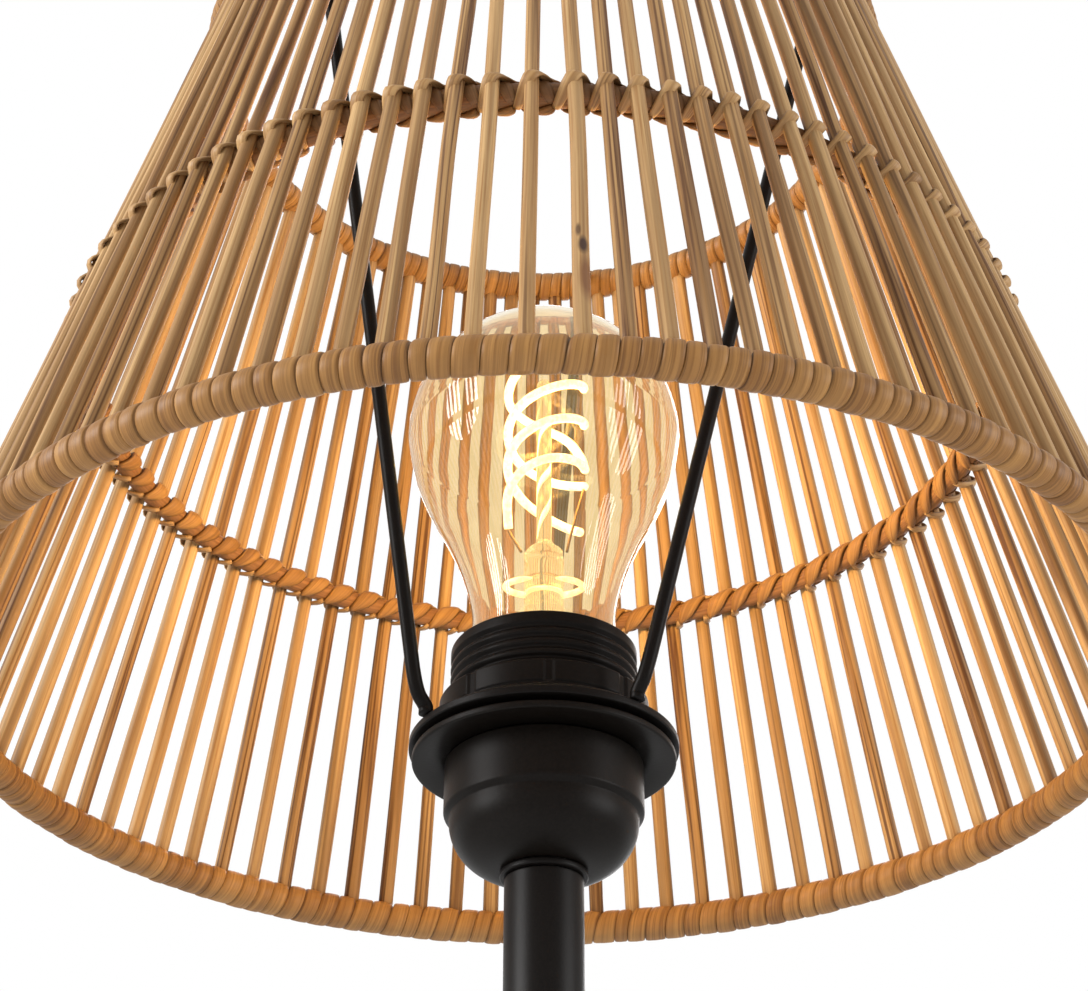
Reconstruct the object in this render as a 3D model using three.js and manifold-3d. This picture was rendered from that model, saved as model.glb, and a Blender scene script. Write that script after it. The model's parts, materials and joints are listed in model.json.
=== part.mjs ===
// A floor lamp with a conical rattan shade: a weighted disc base, a pole of screwed sections,
// a screw lampholder with a clear filament bulb, and a stick cage held by a three-armed carrier.
// Millimetres, +Z up, origin on the floor under the pole's axis.
import * as THREE from "three";
import { mergeVertices } from "three/addons/utils/BufferGeometryUtils.js";
import Module from "manifold-3d";

const wasm = await Module();
wasm.setup();

// Clearances
const gap = 0.3; // between pieces that touch
const overrun = 2; // how far a cut runs past the wall that it opens
const runningGap = 0.3; // around the threads, which turn

// Base
const baseRadius = 124;
const coverWall = 1.5;
const coverLift = 1.5; // the cover's rim above the floor
const coverSideHeight = 11.5;
const shoulderWidth = 17; // how far the rounded shoulder reaches in
const padThickness = 2.5;
const padInset = 8;
const weightHeight = 18;
const weightInset = 3;
const weightSideHeight = 9;
const recessRadius = 17;
const recessDepth = 14;
const channelWidth = 8;
const channelHeight = 9;
const baseNutRadius = 9;
const baseNutHeight = 2.5;
const washerThickness = 1.5;
const baseWasherRadius = 13;
const footCollarRadius = 17;
const footCollarHeight = 9;
const footCollarFloor = 2;
const footCollarTaper = 5;

// Cord inlet in the base's rear edge
const inletHeight = 7.5;
const inletFlangeRadius = 5;
const inletFlangeThickness = 1.2;
const inletSleeveRadius = 3.6;
const inletLength = 8;
const leadRadius = 2;
const leadSetBack = 4; // the lead starts this far inside the inlet

// Pole
const poleRadius = 8;
const poleWall = 1.2;
const sectionNames = ["lower", "middle", "upper"];
const sectionLength = 400;
const couplerLength = 44;
const couplerBore = 4.4;
const bushLength = 20;
const nippleRadius = 4.9;
const nippleBore = 3.4;

// Lampholder
const neckCollarRadius = 8.9;
const neckCollarHeight = 1.2;
const cupRadius = 20.5;
const cupWall = 1.4;
const cupDomeHeight = 12.2;
const cupSideHeight = 10.8;
const cupFootRadius = 8.6;
const beadStep = 1.15;
const beadHeight = 1.6;
const flangeRadius = 27.3;
const flangeThickness = 1.6;
const seatHeight = 0.9;
const seatWidth = 3;
const skirtRadius = 19.75;
const skirtWall = 1.9;
const skirtHeight = 26;
const insertFloor = 5;
const insertDrop = 0.8; // the insert's lip below the skirt's lip
const shellRadius = 13.95;
const shellWall = 0.35;
const shellLip = 3;
const contactRise = 4;
const contactWidth = 5;
const contactThickness = 0.5;
const terminalWidth = 5;
const terminalHeight = 3.6;
const terminalDepth = 6;
const terminalOffset = 9;
const terminalScrewRadius = 1.9;
const terminalScrewHead = 1.2;
const nippleNutRadius = 8;
const nippleNutHeight = 2.4;
const toothWasherRadius = 7.4;
const toothWasherThickness = 0.6;
const nippleProud = 1;
const coreRadius = 0.7;

// Retaining ring
const ringFlareRadius = 26;
const ringFlareHeight = 3.6;
const ringGripRadius = 21.95;
const ringGripHeight = 5.2;
const gripCount = 8;
const gripDepth = 0.5;

// Shade carrier
const carrierRadius = 28;
const carrierThickness = 1.7;
const armRadius = 1.5;
const armFootAngles = [-149, -48, 92]; // degrees from +X
const armTopAngles = [-133, -30, 81.3];
const armKneeRadius = 30.3;
const armKneeHeight = 5; // above the carrier's face
const armFootRise = 2;

// Shade
const rimAboveCarrier = 8.5; // the bottom rim's plane above the carrier's face
const bottomRimRadius = 125;
const topRimRadius = 81.5;
const topRimHeight = 176.5; // above the bottom rim's plane
const midHoopHeight = 77;
const bottomRimThickness = 4; // radius of the wrapped section
const topRimThickness = 3.8;
const midHoopThickness = 2.5;
const stickRadius = 1.7;
const stickCount = 94;
const stickSink = 0.6; // how deep the sticks lie in the middle hoop
const wrapRelief = 0.7; // how far a turn of peel stands out of the groove beside it
const lashThickness = 0.8;
const lashWidth = 2.3;

// Hand-made spacing and thickness, as shares of the even value
const spacingDriftShare = 0.114;
const thicknessDriftShare = 0.1;
const unevenShare = 0.08;
const firstStickTurnShare = -1.9 / 360;

// Bulb
const bulbRadius = 30.7;
const bulbNeckRadius = 15.2;
const bulbWall = 0.8;
const bulbCapLength = 27;
const capRadius = 13.1;
const capWall = 0.4;
const capShellLength = 21;
const eyeletRadius = 4.8;
const eyeletHeight = 1;
const bulbCentreAboveCap = 54.6;
const stemRodRadius = 1.7;
const stemTubeRadius = 4.3;
const stemFlareHeight = 8;
const stemTubeHeight = 25; // from the cap's lip to the pinch
const stemRodLength = 45;
const filamentRadius = 0.95;
const spiralRadius = 8;
const spiralOffset = 1.2; // the spiral's axis, beside the rod
const spiralTurns = 3.5;
const spiralHeight = 29;
const spiralFootAbovePinch = 13.2;
const strandFootAbovePinch = 6;
const strandOffset = 9.4; // the strand that comes down beside the spiral
const leadWireRadius = 0.4;
const driverThickness = 1.6;
const driverWidth = 15;
const driverLength = 13;

// Facets round each kind of body
const wide = 30;
const ringFacets = 24; // enough that the ring turns on the skirt without touching it
const middling = 18;
const slim = 12;
const wireSides = 6;
const stickSides = 5;
const arcSteps = 3; // chords in a quarter of a rounded edge

// Heights, worked out from the floor up
const weightBottom = padThickness + gap;
const weightTop = weightBottom + weightHeight;
const coverTop = weightTop + gap + coverWall;
const poleFoot = coverTop + gap + footCollarFloor + gap;
const poleTop = poleFoot + sectionNames.length * sectionLength;
const neckBottom = poleTop + gap;
const cupBottom = neckBottom + neckCollarHeight + gap;
const cupShoulder = cupBottom + cupDomeHeight;
const cupTop = cupShoulder + cupSideHeight;
const flangeBottom = cupTop + gap;
const flangeTop = flangeBottom + flangeThickness;
const carrierBottom = flangeTop + seatHeight + gap;
const carrierTop = carrierBottom + carrierThickness;
const ringBottom = carrierTop + gap;
const ringTop = ringBottom + ringFlareHeight + ringGripHeight;
const skirtTop = flangeBottom + skirtHeight;
const rimPlane = carrierTop + rimAboveCarrier;
const eyeletBottom = cupTop - gap;
const contactTop = eyeletBottom - gap;
const insertFloorTop = contactTop - contactRise;
const insertBottom = insertFloorTop - insertFloor;
const insertTop = skirtTop - insertDrop;
const capTop = eyeletBottom + bulbCapLength;
const bulbCentre = capTop + bulbCentreAboveCap;

// Radii that follow from the pieces they fit
const poleBore = poleRadius - poleWall;
const plugRadius = poleBore - gap;
const nippleHole = nippleRadius + gap;
const skirtBore = skirtRadius - skirtWall;
const insertRadius = skirtBore - gap;
const cupBore = cupRadius - cupWall;

const group = new THREE.Group();

// Materials: one for each piece, made from the finish of its kind.
const finishes = {
  blackMetal: { color: 0x141414, roughness: 0.42, metalness: 0.6 },
  blackPlastic: { color: 0x121212, roughness: 0.5, metalness: 0 },
  steel: { color: 0x9a9a9a, roughness: 0.4, metalness: 1 },
  iron: { color: 0x3a3a3c, roughness: 0.8, metalness: 0.7 },
  brass: { color: 0xb8924a, roughness: 0.35, metalness: 1 },
  nickel: { color: 0xb9b4a8, roughness: 0.3, metalness: 1 },
  rubber: { color: 0x1a1a1a, roughness: 0.9, metalness: 0 },
  felt: { color: 0x202022, roughness: 1, metalness: 0 },
  insulator: { color: 0x1c1917, roughness: 0.6, metalness: 0 },
  cable: { color: 0x1c1c1c, roughness: 0.6, metalness: 0 },
  circuit: { color: 0x2e5a3a, roughness: 0.6, metalness: 0 },
  rattan: { color: 0xb89468, roughness: 0.6, metalness: 0 },
  peel: { color: 0xa98457, roughness: 0.55, metalness: 0 },
  glass: { color: 0xf2dcb4, roughness: 0.05, metalness: 0, transparent: true, opacity: 0.3 },
  glow: { color: 0xffd27a, roughness: 0.4, metalness: 0 },
};

function addPiece(name, geometry, finish, parent = group) {
  const mesh = new THREE.Mesh(geometry, new THREE.MeshStandardMaterial(finishes[finish]));
  mesh.name = name;
  parent.add(mesh);
}

// A closed geometry of positions alone: shared vertices merged, flat slivers dropped, faces outwards.
function closed(geometry) {
  const bare = geometry.index ? geometry.toNonIndexed() : geometry;
  const plain = new THREE.BufferGeometry();
  plain.setAttribute("position", bare.getAttribute("position"));
  const merged = mergeVertices(plain, 1e-4);
  const place = merged.getAttribute("position");
  const corners = merged.index.array;
  const kept = [];
  let volume = 0;
  for (let i = 0; i < corners.length; i += 3) {
    const [a, b, c] = corners.slice(i, i + 3);
    if (a === b || b === c || c === a) continue;
    kept.push(a, b, c);
    const [p, q, r] = [a, b, c].map((v) => new THREE.Vector3().fromBufferAttribute(place, v));
    volume += p.dot(q.cross(r));
  }
  if (volume < 0) kept.reverse();
  merged.setIndex(kept);
  return merged;
}

function toSolid(geometry) {
  const shape = closed(geometry);
  const vertProperties = new Float32Array(shape.getAttribute("position").array);
  const triVerts = new Uint32Array(shape.index.array);
  return new wasm.Manifold(new wasm.Mesh({ numProp: 3, vertProperties, triVerts }));
}

function toGeometry(solid) {
  const mesh = solid.getMesh();
  const geometry = new THREE.BufferGeometry();
  geometry.setAttribute("position", new THREE.BufferAttribute(mesh.vertProperties, 3));
  geometry.setIndex(new THREE.BufferAttribute(mesh.triVerts, 1));
  return geometry;
}

const cutFrom = (body, ...tools) =>
  toGeometry(tools.reduce((left, tool) => left.subtract(toSolid(tool)), toSolid(body)));

const joined = (...bodies) =>
  toGeometry(bodies.slice(1).reduce((sum, body) => sum.add(toSolid(body)), toSolid(bodies[0])));

// A profile of [radius, height] points, closed on itself or on the axis, turned about Z.
function turned(profile, facets) {
  const points = profile.map(([radius, height]) => new THREE.Vector2(radius, height));
  const open = profile[0][0] > 0 || profile[profile.length - 1][0] > 0;
  if (open) points.push(points[0].clone());
  const lathe = new THREE.LatheGeometry(points, facets);
  lathe.rotateX(Math.PI / 2);
  return closed(lathe);
}

// A ring of rectangular section.
const washer = (outer, inner, bottom, top, facets) =>
  turned([[inner, bottom], [outer, bottom], [outer, top], [inner, top]], facets);

// A hexagon nut with a round bore.
function hexNut(radius, bore, bottom, top) {
  const outline = new THREE.Shape();
  outline.setFromPoints(
    Array.from({ length: 6 }, (_, i) => {
      const angle = (Math.PI / 3) * i;
      return new THREE.Vector2(radius * Math.cos(angle), radius * Math.sin(angle));
    }),
  );
  const hole = new THREE.Path();
  hole.absarc(0, 0, bore, 0, 2 * Math.PI, true);
  outline.holes.push(hole);
  const nut = new THREE.ExtrudeGeometry(outline, {
    depth: top - bottom,
    bevelEnabled: false,
    curveSegments: slim / 2,
  });
  nut.translate(0, 0, bottom);
  return closed(nut);
}

// A solid rod or disc.
const disc = (radius, bottom, top, facets) =>
  turned([[0, bottom], [radius, bottom], [radius, top], [0, top]], facets);

// Points of a quarter ellipse, from straight out at the side to straight up at the top.
function quarterArc(centreRadius, centreHeight, reach, rise, steps) {
  const points = [];
  for (let i = 0; i <= steps; i++) {
    const angle = (Math.PI / 2) * (i / steps);
    points.push([centreRadius + reach * Math.cos(angle), centreHeight + rise * Math.sin(angle)]);
  }
  return points;
}

// A body through a row of point rings, all of one length: capped at its ends, or closed on itself.
function lofted(rings, endless = false) {
  const sides = rings[0].length;
  const positions = rings.flat().flatMap((point) => [point.x, point.y, point.z]);
  const faces = [];
  const spans = endless ? rings.length : rings.length - 1;
  for (let i = 0; i < spans; i++) {
    const here = i * sides;
    const next = ((i + 1) % rings.length) * sides;
    for (let j = 0; j < sides; j++) {
      const k = (j + 1) % sides;
      faces.push(here + j, next + j, next + k, here + j, next + k, here + k);
    }
  }
  if (!endless) {
    const last = (rings.length - 1) * sides;
    for (let j = 1; j < sides - 1; j++) {
      faces.push(0, j, j + 1);
      faces.push(last, last + j + 1, last + j);
    }
  }
  const geometry = new THREE.BufferGeometry();
  geometry.setAttribute("position", new THREE.Float32BufferAttribute(positions, 3));
  geometry.setIndex(faces);
  return closed(geometry);
}

// A round wire along a row of points, its first corner turned towards the given side.
function wire(points, radius, sides, firstSide) {
  const start = points[1].clone().sub(points[0]).normalize();
  let towards = firstSide ?? new THREE.Vector3(0, Math.abs(start.z), 1 - Math.abs(start.z));
  const rings = points.map((point, i) => {
    const before = points[Math.max(i - 1, 0)];
    const after = points[Math.min(i + 1, points.length - 1)];
    const along = after.clone().sub(before).normalize();
    const side = towards.clone().addScaledVector(along, -towards.dot(along)).normalize();
    towards = side.clone();
    const other = along.clone().cross(side);
    return Array.from({ length: sides }, (_, j) => {
      const angle = (2 * Math.PI * j) / sides;
      return point
        .clone()
        .addScaledVector(side, radius * Math.cos(angle))
        .addScaledVector(other, radius * Math.sin(angle));
    });
  });
  return lofted(rings);
}

// A point at an angle from +X in degrees, at a radius and a height.
function around(degrees, radius, height) {
  const angle = THREE.MathUtils.degToRad(degrees);
  return new THREE.Vector3(radius * Math.cos(angle), radius * Math.sin(angle), height);
}

// Base: pad, weight, pressed cover, and the nipple that bolts them to the pole.
function makeBase() {
  const padRadius = baseRadius - padInset;
  addPiece("base_pad", washer(padRadius, recessRadius, 0, padThickness, wide), "felt");

  const shoulderRadius = baseRadius - shoulderWidth;
  const sideTop = coverLift + coverSideHeight;
  const innerTop = coverTop - coverWall;
  const outside = quarterArc(shoulderRadius, sideTop, shoulderWidth, coverTop - sideTop, arcSteps);
  const innerWidth = shoulderWidth - coverWall;
  const inside = quarterArc(shoulderRadius, sideTop, innerWidth, innerTop - sideTop, arcSteps);
  const cover = turned(
    [
      [baseRadius, coverLift],
      ...outside,
      [nippleHole, coverTop],
      [nippleHole, innerTop],
      ...inside.reverse(),
      [baseRadius - coverWall, coverLift],
    ],
    wide,
  );
  const inletHole = disc(inletSleeveRadius + gap, 0, coverWall + 2 * overrun, slim);
  inletHole.rotateX(-Math.PI / 2);
  inletHole.translate(0, baseRadius - coverWall - overrun, inletHeight);
  addPiece("base_cover", cutFrom(cover, inletHole), "blackMetal");

  const weightRadius = baseRadius - coverWall - weightInset;
  const recessTop = weightBottom + recessDepth;
  const weight = turned(
    [
      [recessRadius, weightBottom],
      [weightRadius, weightBottom],
      [weightRadius, weightBottom + weightSideHeight],
      [shoulderRadius, weightTop],
      [nippleHole, weightTop],
      [nippleHole, recessTop],
      [recessRadius, recessTop],
    ],
    wide,
  );
  const channelLength = baseRadius - recessRadius / 2;
  const channel = new THREE.BoxGeometry(channelWidth, channelLength, channelHeight + overrun);
  channel.translate(0, recessRadius / 2 + channelLength / 2, weightBottom + (channelHeight - overrun) / 2);
  addPiece("base_weight", cutFrom(weight, channel), "iron");

  const washerTop = recessTop - gap;
  const nutTop = washerTop - washerThickness - gap;
  const nippleBottom = nutTop - baseNutHeight;
  const baseWasher = washer(baseWasherRadius, nippleHole, nutTop + gap, washerTop, slim);
  addPiece("base_washer", baseWasher, "steel");
  addPiece("base_nut", hexNut(baseNutRadius, nippleHole, nippleBottom, nutTop), "steel");
  const nippleTop = poleFoot + bushLength;
  addPiece("base_nipple", washer(nippleRadius, nippleBore, nippleBottom, nippleTop, slim), "steel");
  const footBush = washer(plugRadius, nippleHole, poleFoot, poleFoot + bushLength, slim);
  addPiece("foot_bush", footBush, "steel");

  const collarFloorTop = coverTop + gap + footCollarFloor;
  const collarTop = coverTop + gap + footCollarHeight;
  const footCollar = turned(
    [
      [nippleHole, coverTop + gap],
      [footCollarRadius, coverTop + gap],
      [footCollarRadius, collarFloorTop],
      [footCollarRadius - footCollarTaper, collarTop - footCollarFloor],
      [footCollarRadius - footCollarTaper, collarTop],
      [poleRadius + gap, collarTop],
      [poleRadius + gap, collarFloorTop],
      [nippleHole, collarFloorTop],
    ],
    middling,
  );
  addPiece("foot_collar", footCollar, "blackMetal");
  return nippleBottom;
}

// The inlet's bushing lies along Y, with its flange outside the cover.
function makeInlet() {
  const bushing = turned(
    [
      [leadRadius + gap, 0],
      [inletSleeveRadius, 0],
      [inletSleeveRadius, inletLength],
      [inletFlangeRadius, inletLength],
      [inletFlangeRadius, inletLength + inletFlangeThickness],
      [leadRadius + gap, inletLength + inletFlangeThickness],
    ],
    slim,
  );
  bushing.rotateX(-Math.PI / 2);
  bushing.translate(0, baseRadius + gap - inletLength, inletHeight);
  addPiece("cord_inlet", bushing, "rubber");
}

// Wiring: in at the inlet, along the weight's channel and up the pole to the lampholder.
function makeLead(nippleBottom, leadTop) {
  const start = baseRadius + inletFlangeThickness - leadSetBack;
  const bend = nippleBottom - inletHeight;
  const points = [new THREE.Vector3(0, start, inletHeight), new THREE.Vector3(0, start / 2, inletHeight)];
  const steps = 5;
  for (let i = 0; i <= steps; i++) {
    const angle = (Math.PI / 2) * (i / steps);
    const back = bend * (1 - Math.sin(angle));
    points.push(new THREE.Vector3(0, back, inletHeight + bend * (1 - Math.cos(angle))));
  }
  const rises = 8;
  for (let i = 1; i <= rises; i++) {
    points.push(new THREE.Vector3(0, 0, THREE.MathUtils.lerp(nippleBottom, leadTop, i / rises)));
  }
  addPiece("inner_lead", wire(points, leadRadius, wireSides, new THREE.Vector3(1, 0, 0)), "cable");
}

// Pole: tube sections that meet end to end over threaded couplers.
function makePole() {
  sectionNames.forEach((name, i) => {
    const bottom = poleFoot + i * sectionLength;
    const top = bottom + sectionLength - (i < sectionNames.length - 1 ? gap : 0);
    addPiece("pole_" + name, washer(poleRadius, poleBore, bottom, top, middling), "blackMetal");
    if (i === 0) return;
    const low = bottom - couplerLength / 2;
    const coupler = washer(plugRadius, couplerBore, low, low + couplerLength, slim);
    addPiece("coupler_" + sectionNames[i - 1], coupler, "steel");
  });
  addPiece("pole_top_bush", washer(plugRadius, nippleHole, poleTop - bushLength, poleTop, slim), "steel");
}

// The lampholder's outer pieces: collar, cup, threaded skirt with its flange, nipple and nut.
function makeHolderBody() {
  const neck = washer(neckCollarRadius, nippleHole, neckBottom, neckBottom + neckCollarHeight, middling);
  addPiece("neck_collar", neck, "blackMetal");

  const domeReach = cupRadius - beadStep - cupFootRadius;
  const dome = (inset) =>
    quarterArc(cupFootRadius, 0, domeReach - inset, cupDomeHeight - beadHeight - inset, arcSteps).map(
      ([radius, rise]) => [radius, cupShoulder - beadHeight - rise],
    );
  const socketCup = turned(
    [
      ...dome(0).reverse(),
      [cupRadius - beadStep, cupShoulder - beadHeight],
      [cupRadius, cupShoulder],
      [cupRadius, cupTop],
      [cupBore, cupTop],
      [cupBore, cupShoulder],
      ...dome(cupWall),
      [nippleHole, cupBottom + cupWall],
      [nippleHole, cupBottom],
    ],
    middling,
  );
  addPiece("socket_cup", socketCup, "blackPlastic");

  const nippleTop = cupBottom + cupWall + gap + toothWasherThickness + gap + nippleNutHeight + nippleProud;
  const nippleLow = poleTop - bushLength;
  addPiece("holder_nipple", washer(nippleRadius, nippleBore, nippleLow, nippleTop, slim), "steel");
  const washerLow = cupBottom + cupWall + gap;
  const nutLow = washerLow + toothWasherThickness + gap;
  const tooth = washer(toothWasherRadius, nippleHole, washerLow, washerLow + toothWasherThickness, slim);
  addPiece("tooth_washer", tooth, "steel");
  const nut = hexNut(nippleNutRadius, nippleHole, nutLow, nutLow + nippleNutHeight);
  addPiece("nipple_nut", nut, "steel");

  const seatRadius = skirtRadius + seatWidth;
  const holderSkirt = turned(
    [
      [skirtBore, flangeBottom],
      [flangeRadius, flangeBottom],
      [flangeRadius, flangeTop],
      [seatRadius, flangeTop],
      [seatRadius, flangeTop + seatHeight],
      [skirtRadius, flangeTop + seatHeight],
      [skirtRadius, skirtTop - skirtWall / 2],
      [skirtRadius - skirtWall / 2, skirtTop],
      [skirtBore, skirtTop],
    ],
    middling,
  );
  addPiece("holder_skirt", holderSkirt, "blackPlastic");
  return nippleTop;
}

// The lampholder's live pieces: insulating insert, screw shell, sprung contact, terminals and cores.
function makeHolderInside(leadTop) {
  const wellRadius = shellRadius + gap;
  const insert = turned(
    [
      [0, insertBottom],
      [insertRadius, insertBottom],
      [insertRadius, insertTop],
      [wellRadius, insertTop],
      [wellRadius, insertFloorTop],
      [0, insertFloorTop],
    ],
    middling,
  );
  addPiece("holder_insert", insert, "insulator");

  const shellBottom = insertFloorTop + gap;
  const shellTop = insertTop - gap;
  const screwShell = turned(
    [
      [shellRadius - shellLip, shellBottom],
      [shellRadius, shellBottom],
      [shellRadius, shellTop],
      [shellRadius - shellWall, shellTop],
      [shellRadius - shellWall, shellBottom + shellWall],
      [shellRadius - shellLip, shellBottom + shellWall],
    ],
    middling,
  );
  addPiece("screw_shell", screwShell, "brass");

  // The leaf lies flat on the floor at one end and rises under the bulb's eyelet at the other.
  const foot = shellRadius - shellLip - 2 * gap;
  const low = insertFloorTop + gap;
  const high = contactTop - contactThickness;
  const leaf = new THREE.Shape([
    new THREE.Vector2(-foot, low),
    new THREE.Vector2(-foot / 2, low),
    new THREE.Vector2(-contactWidth / 2, high),
    new THREE.Vector2(contactWidth / 2, high),
    new THREE.Vector2(contactWidth / 2, high + contactThickness),
    new THREE.Vector2(-contactWidth / 2, high + contactThickness),
    new THREE.Vector2(-foot / 2, low + contactThickness),
    new THREE.Vector2(-foot, low + contactThickness),
  ]);
  const contact = new THREE.ExtrudeGeometry(leaf, { depth: contactWidth, bevelEnabled: false });
  contact.rotateX(Math.PI / 2);
  contact.translate(0, contactWidth / 2, 0);
  addPiece("centre_contact", closed(contact), "brass");

  const blockTop = insertBottom - gap;
  const blockBottom = blockTop - terminalHeight;
  for (const [name, side] of [["live", 1], ["neutral", -1]]) {
    const block = new THREE.BoxGeometry(terminalWidth, terminalDepth, terminalHeight);
    block.translate(side * terminalOffset, 0, blockTop - terminalHeight / 2);
    addPiece("terminal_" + name, closed(block), "brass");
    const screwTop = blockBottom - gap;
    const screw = disc(terminalScrewRadius, screwTop - terminalScrewHead, screwTop, slim);
    screw.translate(side * terminalOffset, 0, 0);
    addPiece("terminal_screw_" + name, screw, "steel");
    const innerFace = terminalOffset - terminalWidth / 2 - gap;
    const blockMiddle = blockTop - terminalHeight / 2;
    const core = [
      new THREE.Vector3(side * (coreRadius + gap), 0, leadTop + gap),
      new THREE.Vector3(side * (coreRadius + gap), 0, (leadTop + blockMiddle) / 2),
      new THREE.Vector3((side * innerFace) / 2, 0, blockMiddle),
      new THREE.Vector3(side * innerFace, 0, blockMiddle),
    ];
    addPiece("core_" + name, wire(core, coreRadius, wireSides, new THREE.Vector3(0, 1, 0)), "cable");
  }
}

// Retaining ring: a flared foot under a grip of curved panels, with a plain bore over the skirt's thread.
function makeRetainingRing() {
  const bore = skirtRadius + runningGap;
  const gripBottom = ringBottom + ringFlareHeight;
  const flare = turned(
    [
      [bore, ringBottom],
      [ringFlareRadius, ringBottom],
      [ringFlareRadius, ringBottom + ringFlareHeight / 4],
      [ringGripRadius - gripDepth, gripBottom],
      [ringGripRadius - gripDepth, ringTop],
      [bore, ringTop],
    ],
    ringFacets,
  );
  const pitch = (2 * Math.PI) / gripCount;
  // Corners of one notch and its panel: share of the pitch, and share of the depth below the panel.
  const panelShares = [[0, 1], [0.12, 1], [0.14, 0], [0.35, 0], [0.56, 0], [0.77, 0], [0.98, 0]];
  const outline = new THREE.Shape();
  for (let i = 0; i < gripCount; i++) {
    for (const [turnShare, depthShare] of panelShares) {
      const angle = (i + turnShare) * pitch;
      const radius = ringGripRadius - gripDepth * depthShare;
      const [x, y] = [radius * Math.cos(angle), radius * Math.sin(angle)];
      if (i === 0 && turnShare === 0) outline.moveTo(x, y);
      else outline.lineTo(x, y);
    }
  }
  const hole = new THREE.Path();
  hole.absarc(0, 0, bore + gripDepth / 4, 0, 2 * Math.PI, true);
  outline.holes.push(hole);
  const depth = ringTop - gripBottom - gripDepth;
  const grip = new THREE.ExtrudeGeometry(outline, { depth, bevelEnabled: false, curveSegments: middling / 2 });
  grip.translate(0, 0, gripBottom + gripDepth / 2);
  addPiece("retaining_ring", joined(flare, grip), "blackPlastic");
}

// Carrier: a steel ring that the retaining ring clamps on the flange, and three wire arms.
function makeCarrier() {
  const bore = skirtRadius + 2 * gap;
  addPiece("carrier_ring", washer(carrierRadius, bore, carrierBottom, carrierTop, middling), "blackMetal");
  const footRadius = ringFlareRadius + gap + armRadius;
  const corner = Math.PI / 2 / stickSides; // how far the rim's inner edge is turned up from level
  armFootAngles.forEach((footAngle, i) => {
    const rimHere = topRimThickness * thicknessAt(THREE.MathUtils.degToRad(armTopAngles[i] + 90));
    const topRadius = topRimRadius - rimHere * Math.cos(corner) - gap - armRadius;
    const points = [
      around(footAngle, footRadius, carrierTop + gap),
      around(footAngle, footRadius, carrierTop + armFootRise),
      around(footAngle, armKneeRadius, carrierTop + armKneeHeight),
      around(armTopAngles[i], topRadius, rimPlane + topRimHeight + rimHere * Math.sin(corner)),
    ];
    addPiece("carrier_arm_" + (i + 1), wire(points, armRadius, wireSides), "blackMetal");
  });
}

// Unevenness of handwork: a fixed number from -1 to 1 for each stick and each use.
function uneven(index, use) {
  const goldenShare = (Math.sqrt(5) - 1) / 2;
  return 2 * ((index * (use + goldenShare) * goldenShare) % 1) - 1;
}

// The angle of stick number k, or of a place between sticks, from -Y towards +X in radians.
function stickTurn(k) {
  const even = 2 * Math.PI * (k / stickCount + firstStickTurnShare);
  return even - spacingDriftShare * Math.sin(even);
}

const thicknessAt = (turn) => 1 - thicknessDriftShare * Math.cos(turn);
const outwards = (turn) => new THREE.Vector3(Math.sin(turn), -Math.cos(turn), 0);
const upwards = new THREE.Vector3(0, 0, 1);

// A hoop wrapped in flat peel: crests between the sticks, notches where the sticks enter, and a
// flat of its section turned up or down (side 1 or -1) to the sticks' ends.
// Each ring of the loft has its place in the pitch and its depth below the crest, as shares.
function wrappedRim(radius, height, thickness, side, ringShares) {
  const rings = [];
  for (let k = 0; k < stickCount; k++) {
    for (const [pitchShare, depthShare] of ringShares) {
      const turn = stickTurn(k + pitchShare);
      const section = thickness * thicknessAt(turn) - wrapRelief * depthShare;
      rings.push(
        Array.from({ length: stickSides }, (_, j) => {
          const angle = (side * Math.PI) / 2 + (2 * Math.PI * (j + 0.5)) / stickSides;
          return outwards(turn)
            .multiplyScalar(radius + section * Math.cos(angle))
            .addScaledVector(upwards, height + section * Math.sin(angle));
        }),
      );
    }
  }
  return lofted(rings, true);
}

// Cage: straight sticks from rim to rim, pressed into the middle hoop that carries them.
function makeCage() {
  const leanShare = (bottomRimRadius - topRimRadius) / topRimHeight;
  const coneRadius = (height) =>
    THREE.MathUtils.mapLinear(height, rimPlane, rimPlane + topRimHeight, bottomRimRadius, topRimRadius);
  const midHeight = rimPlane + midHoopHeight;
  const hoopOuter = coneRadius(midHeight) - stickRadius + stickSink;
  const hoopRadius = hoopOuter - midHoopThickness;
  const hoopRings = [];
  for (let k = 0; k < stickCount; k += 2) {
    const turn = stickTurn(k + 0.5);
    hoopRings.push(
      Array.from({ length: wireSides }, (_, j) => {
        const angle = (2 * Math.PI * j) / wireSides;
        return outwards(turn)
          .multiplyScalar(hoopRadius + midHoopThickness * Math.cos(angle))
          .addScaledVector(upwards, midHeight + midHoopThickness * Math.sin(angle));
      }),
    );
  }
  const bodies = [toSolid(lofted(hoopRings, true))];
  for (let k = 0; k < stickCount; k++) {
    const turn = stickTurn(k);
    const radius = stickRadius * thicknessAt(turn) * (1 + unevenShare * uneven(k, 1));
    const shift = radius - stickRadius;
    const sway = unevenShare * stickRadius;
    const flatShare = thicknessAt(turn) * Math.cos(Math.PI / stickSides);
    const low = rimPlane + bottomRimThickness * flatShare + radius * leanShare + gap;
    const high = rimPlane + topRimHeight - topRimThickness * flatShare - radius * leanShare - gap;
    const end = (height, use) =>
      outwards(turn + (sway * uneven(k, use)) / bottomRimRadius)
        .multiplyScalar(coneRadius(height) + shift)
        .addScaledVector(upwards, height);
    const stick = wire([end(low, 2), end(high, 3)], radius, stickSides, outwards(turn).negate());
    bodies.push(toSolid(stick));
  }
  addPiece("stick_cage", toGeometry(wasm.Manifold.union(bodies)), "rattan");
  return { hoopRadius, midHeight, stickLine: coneRadius(midHeight) };
}

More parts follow.
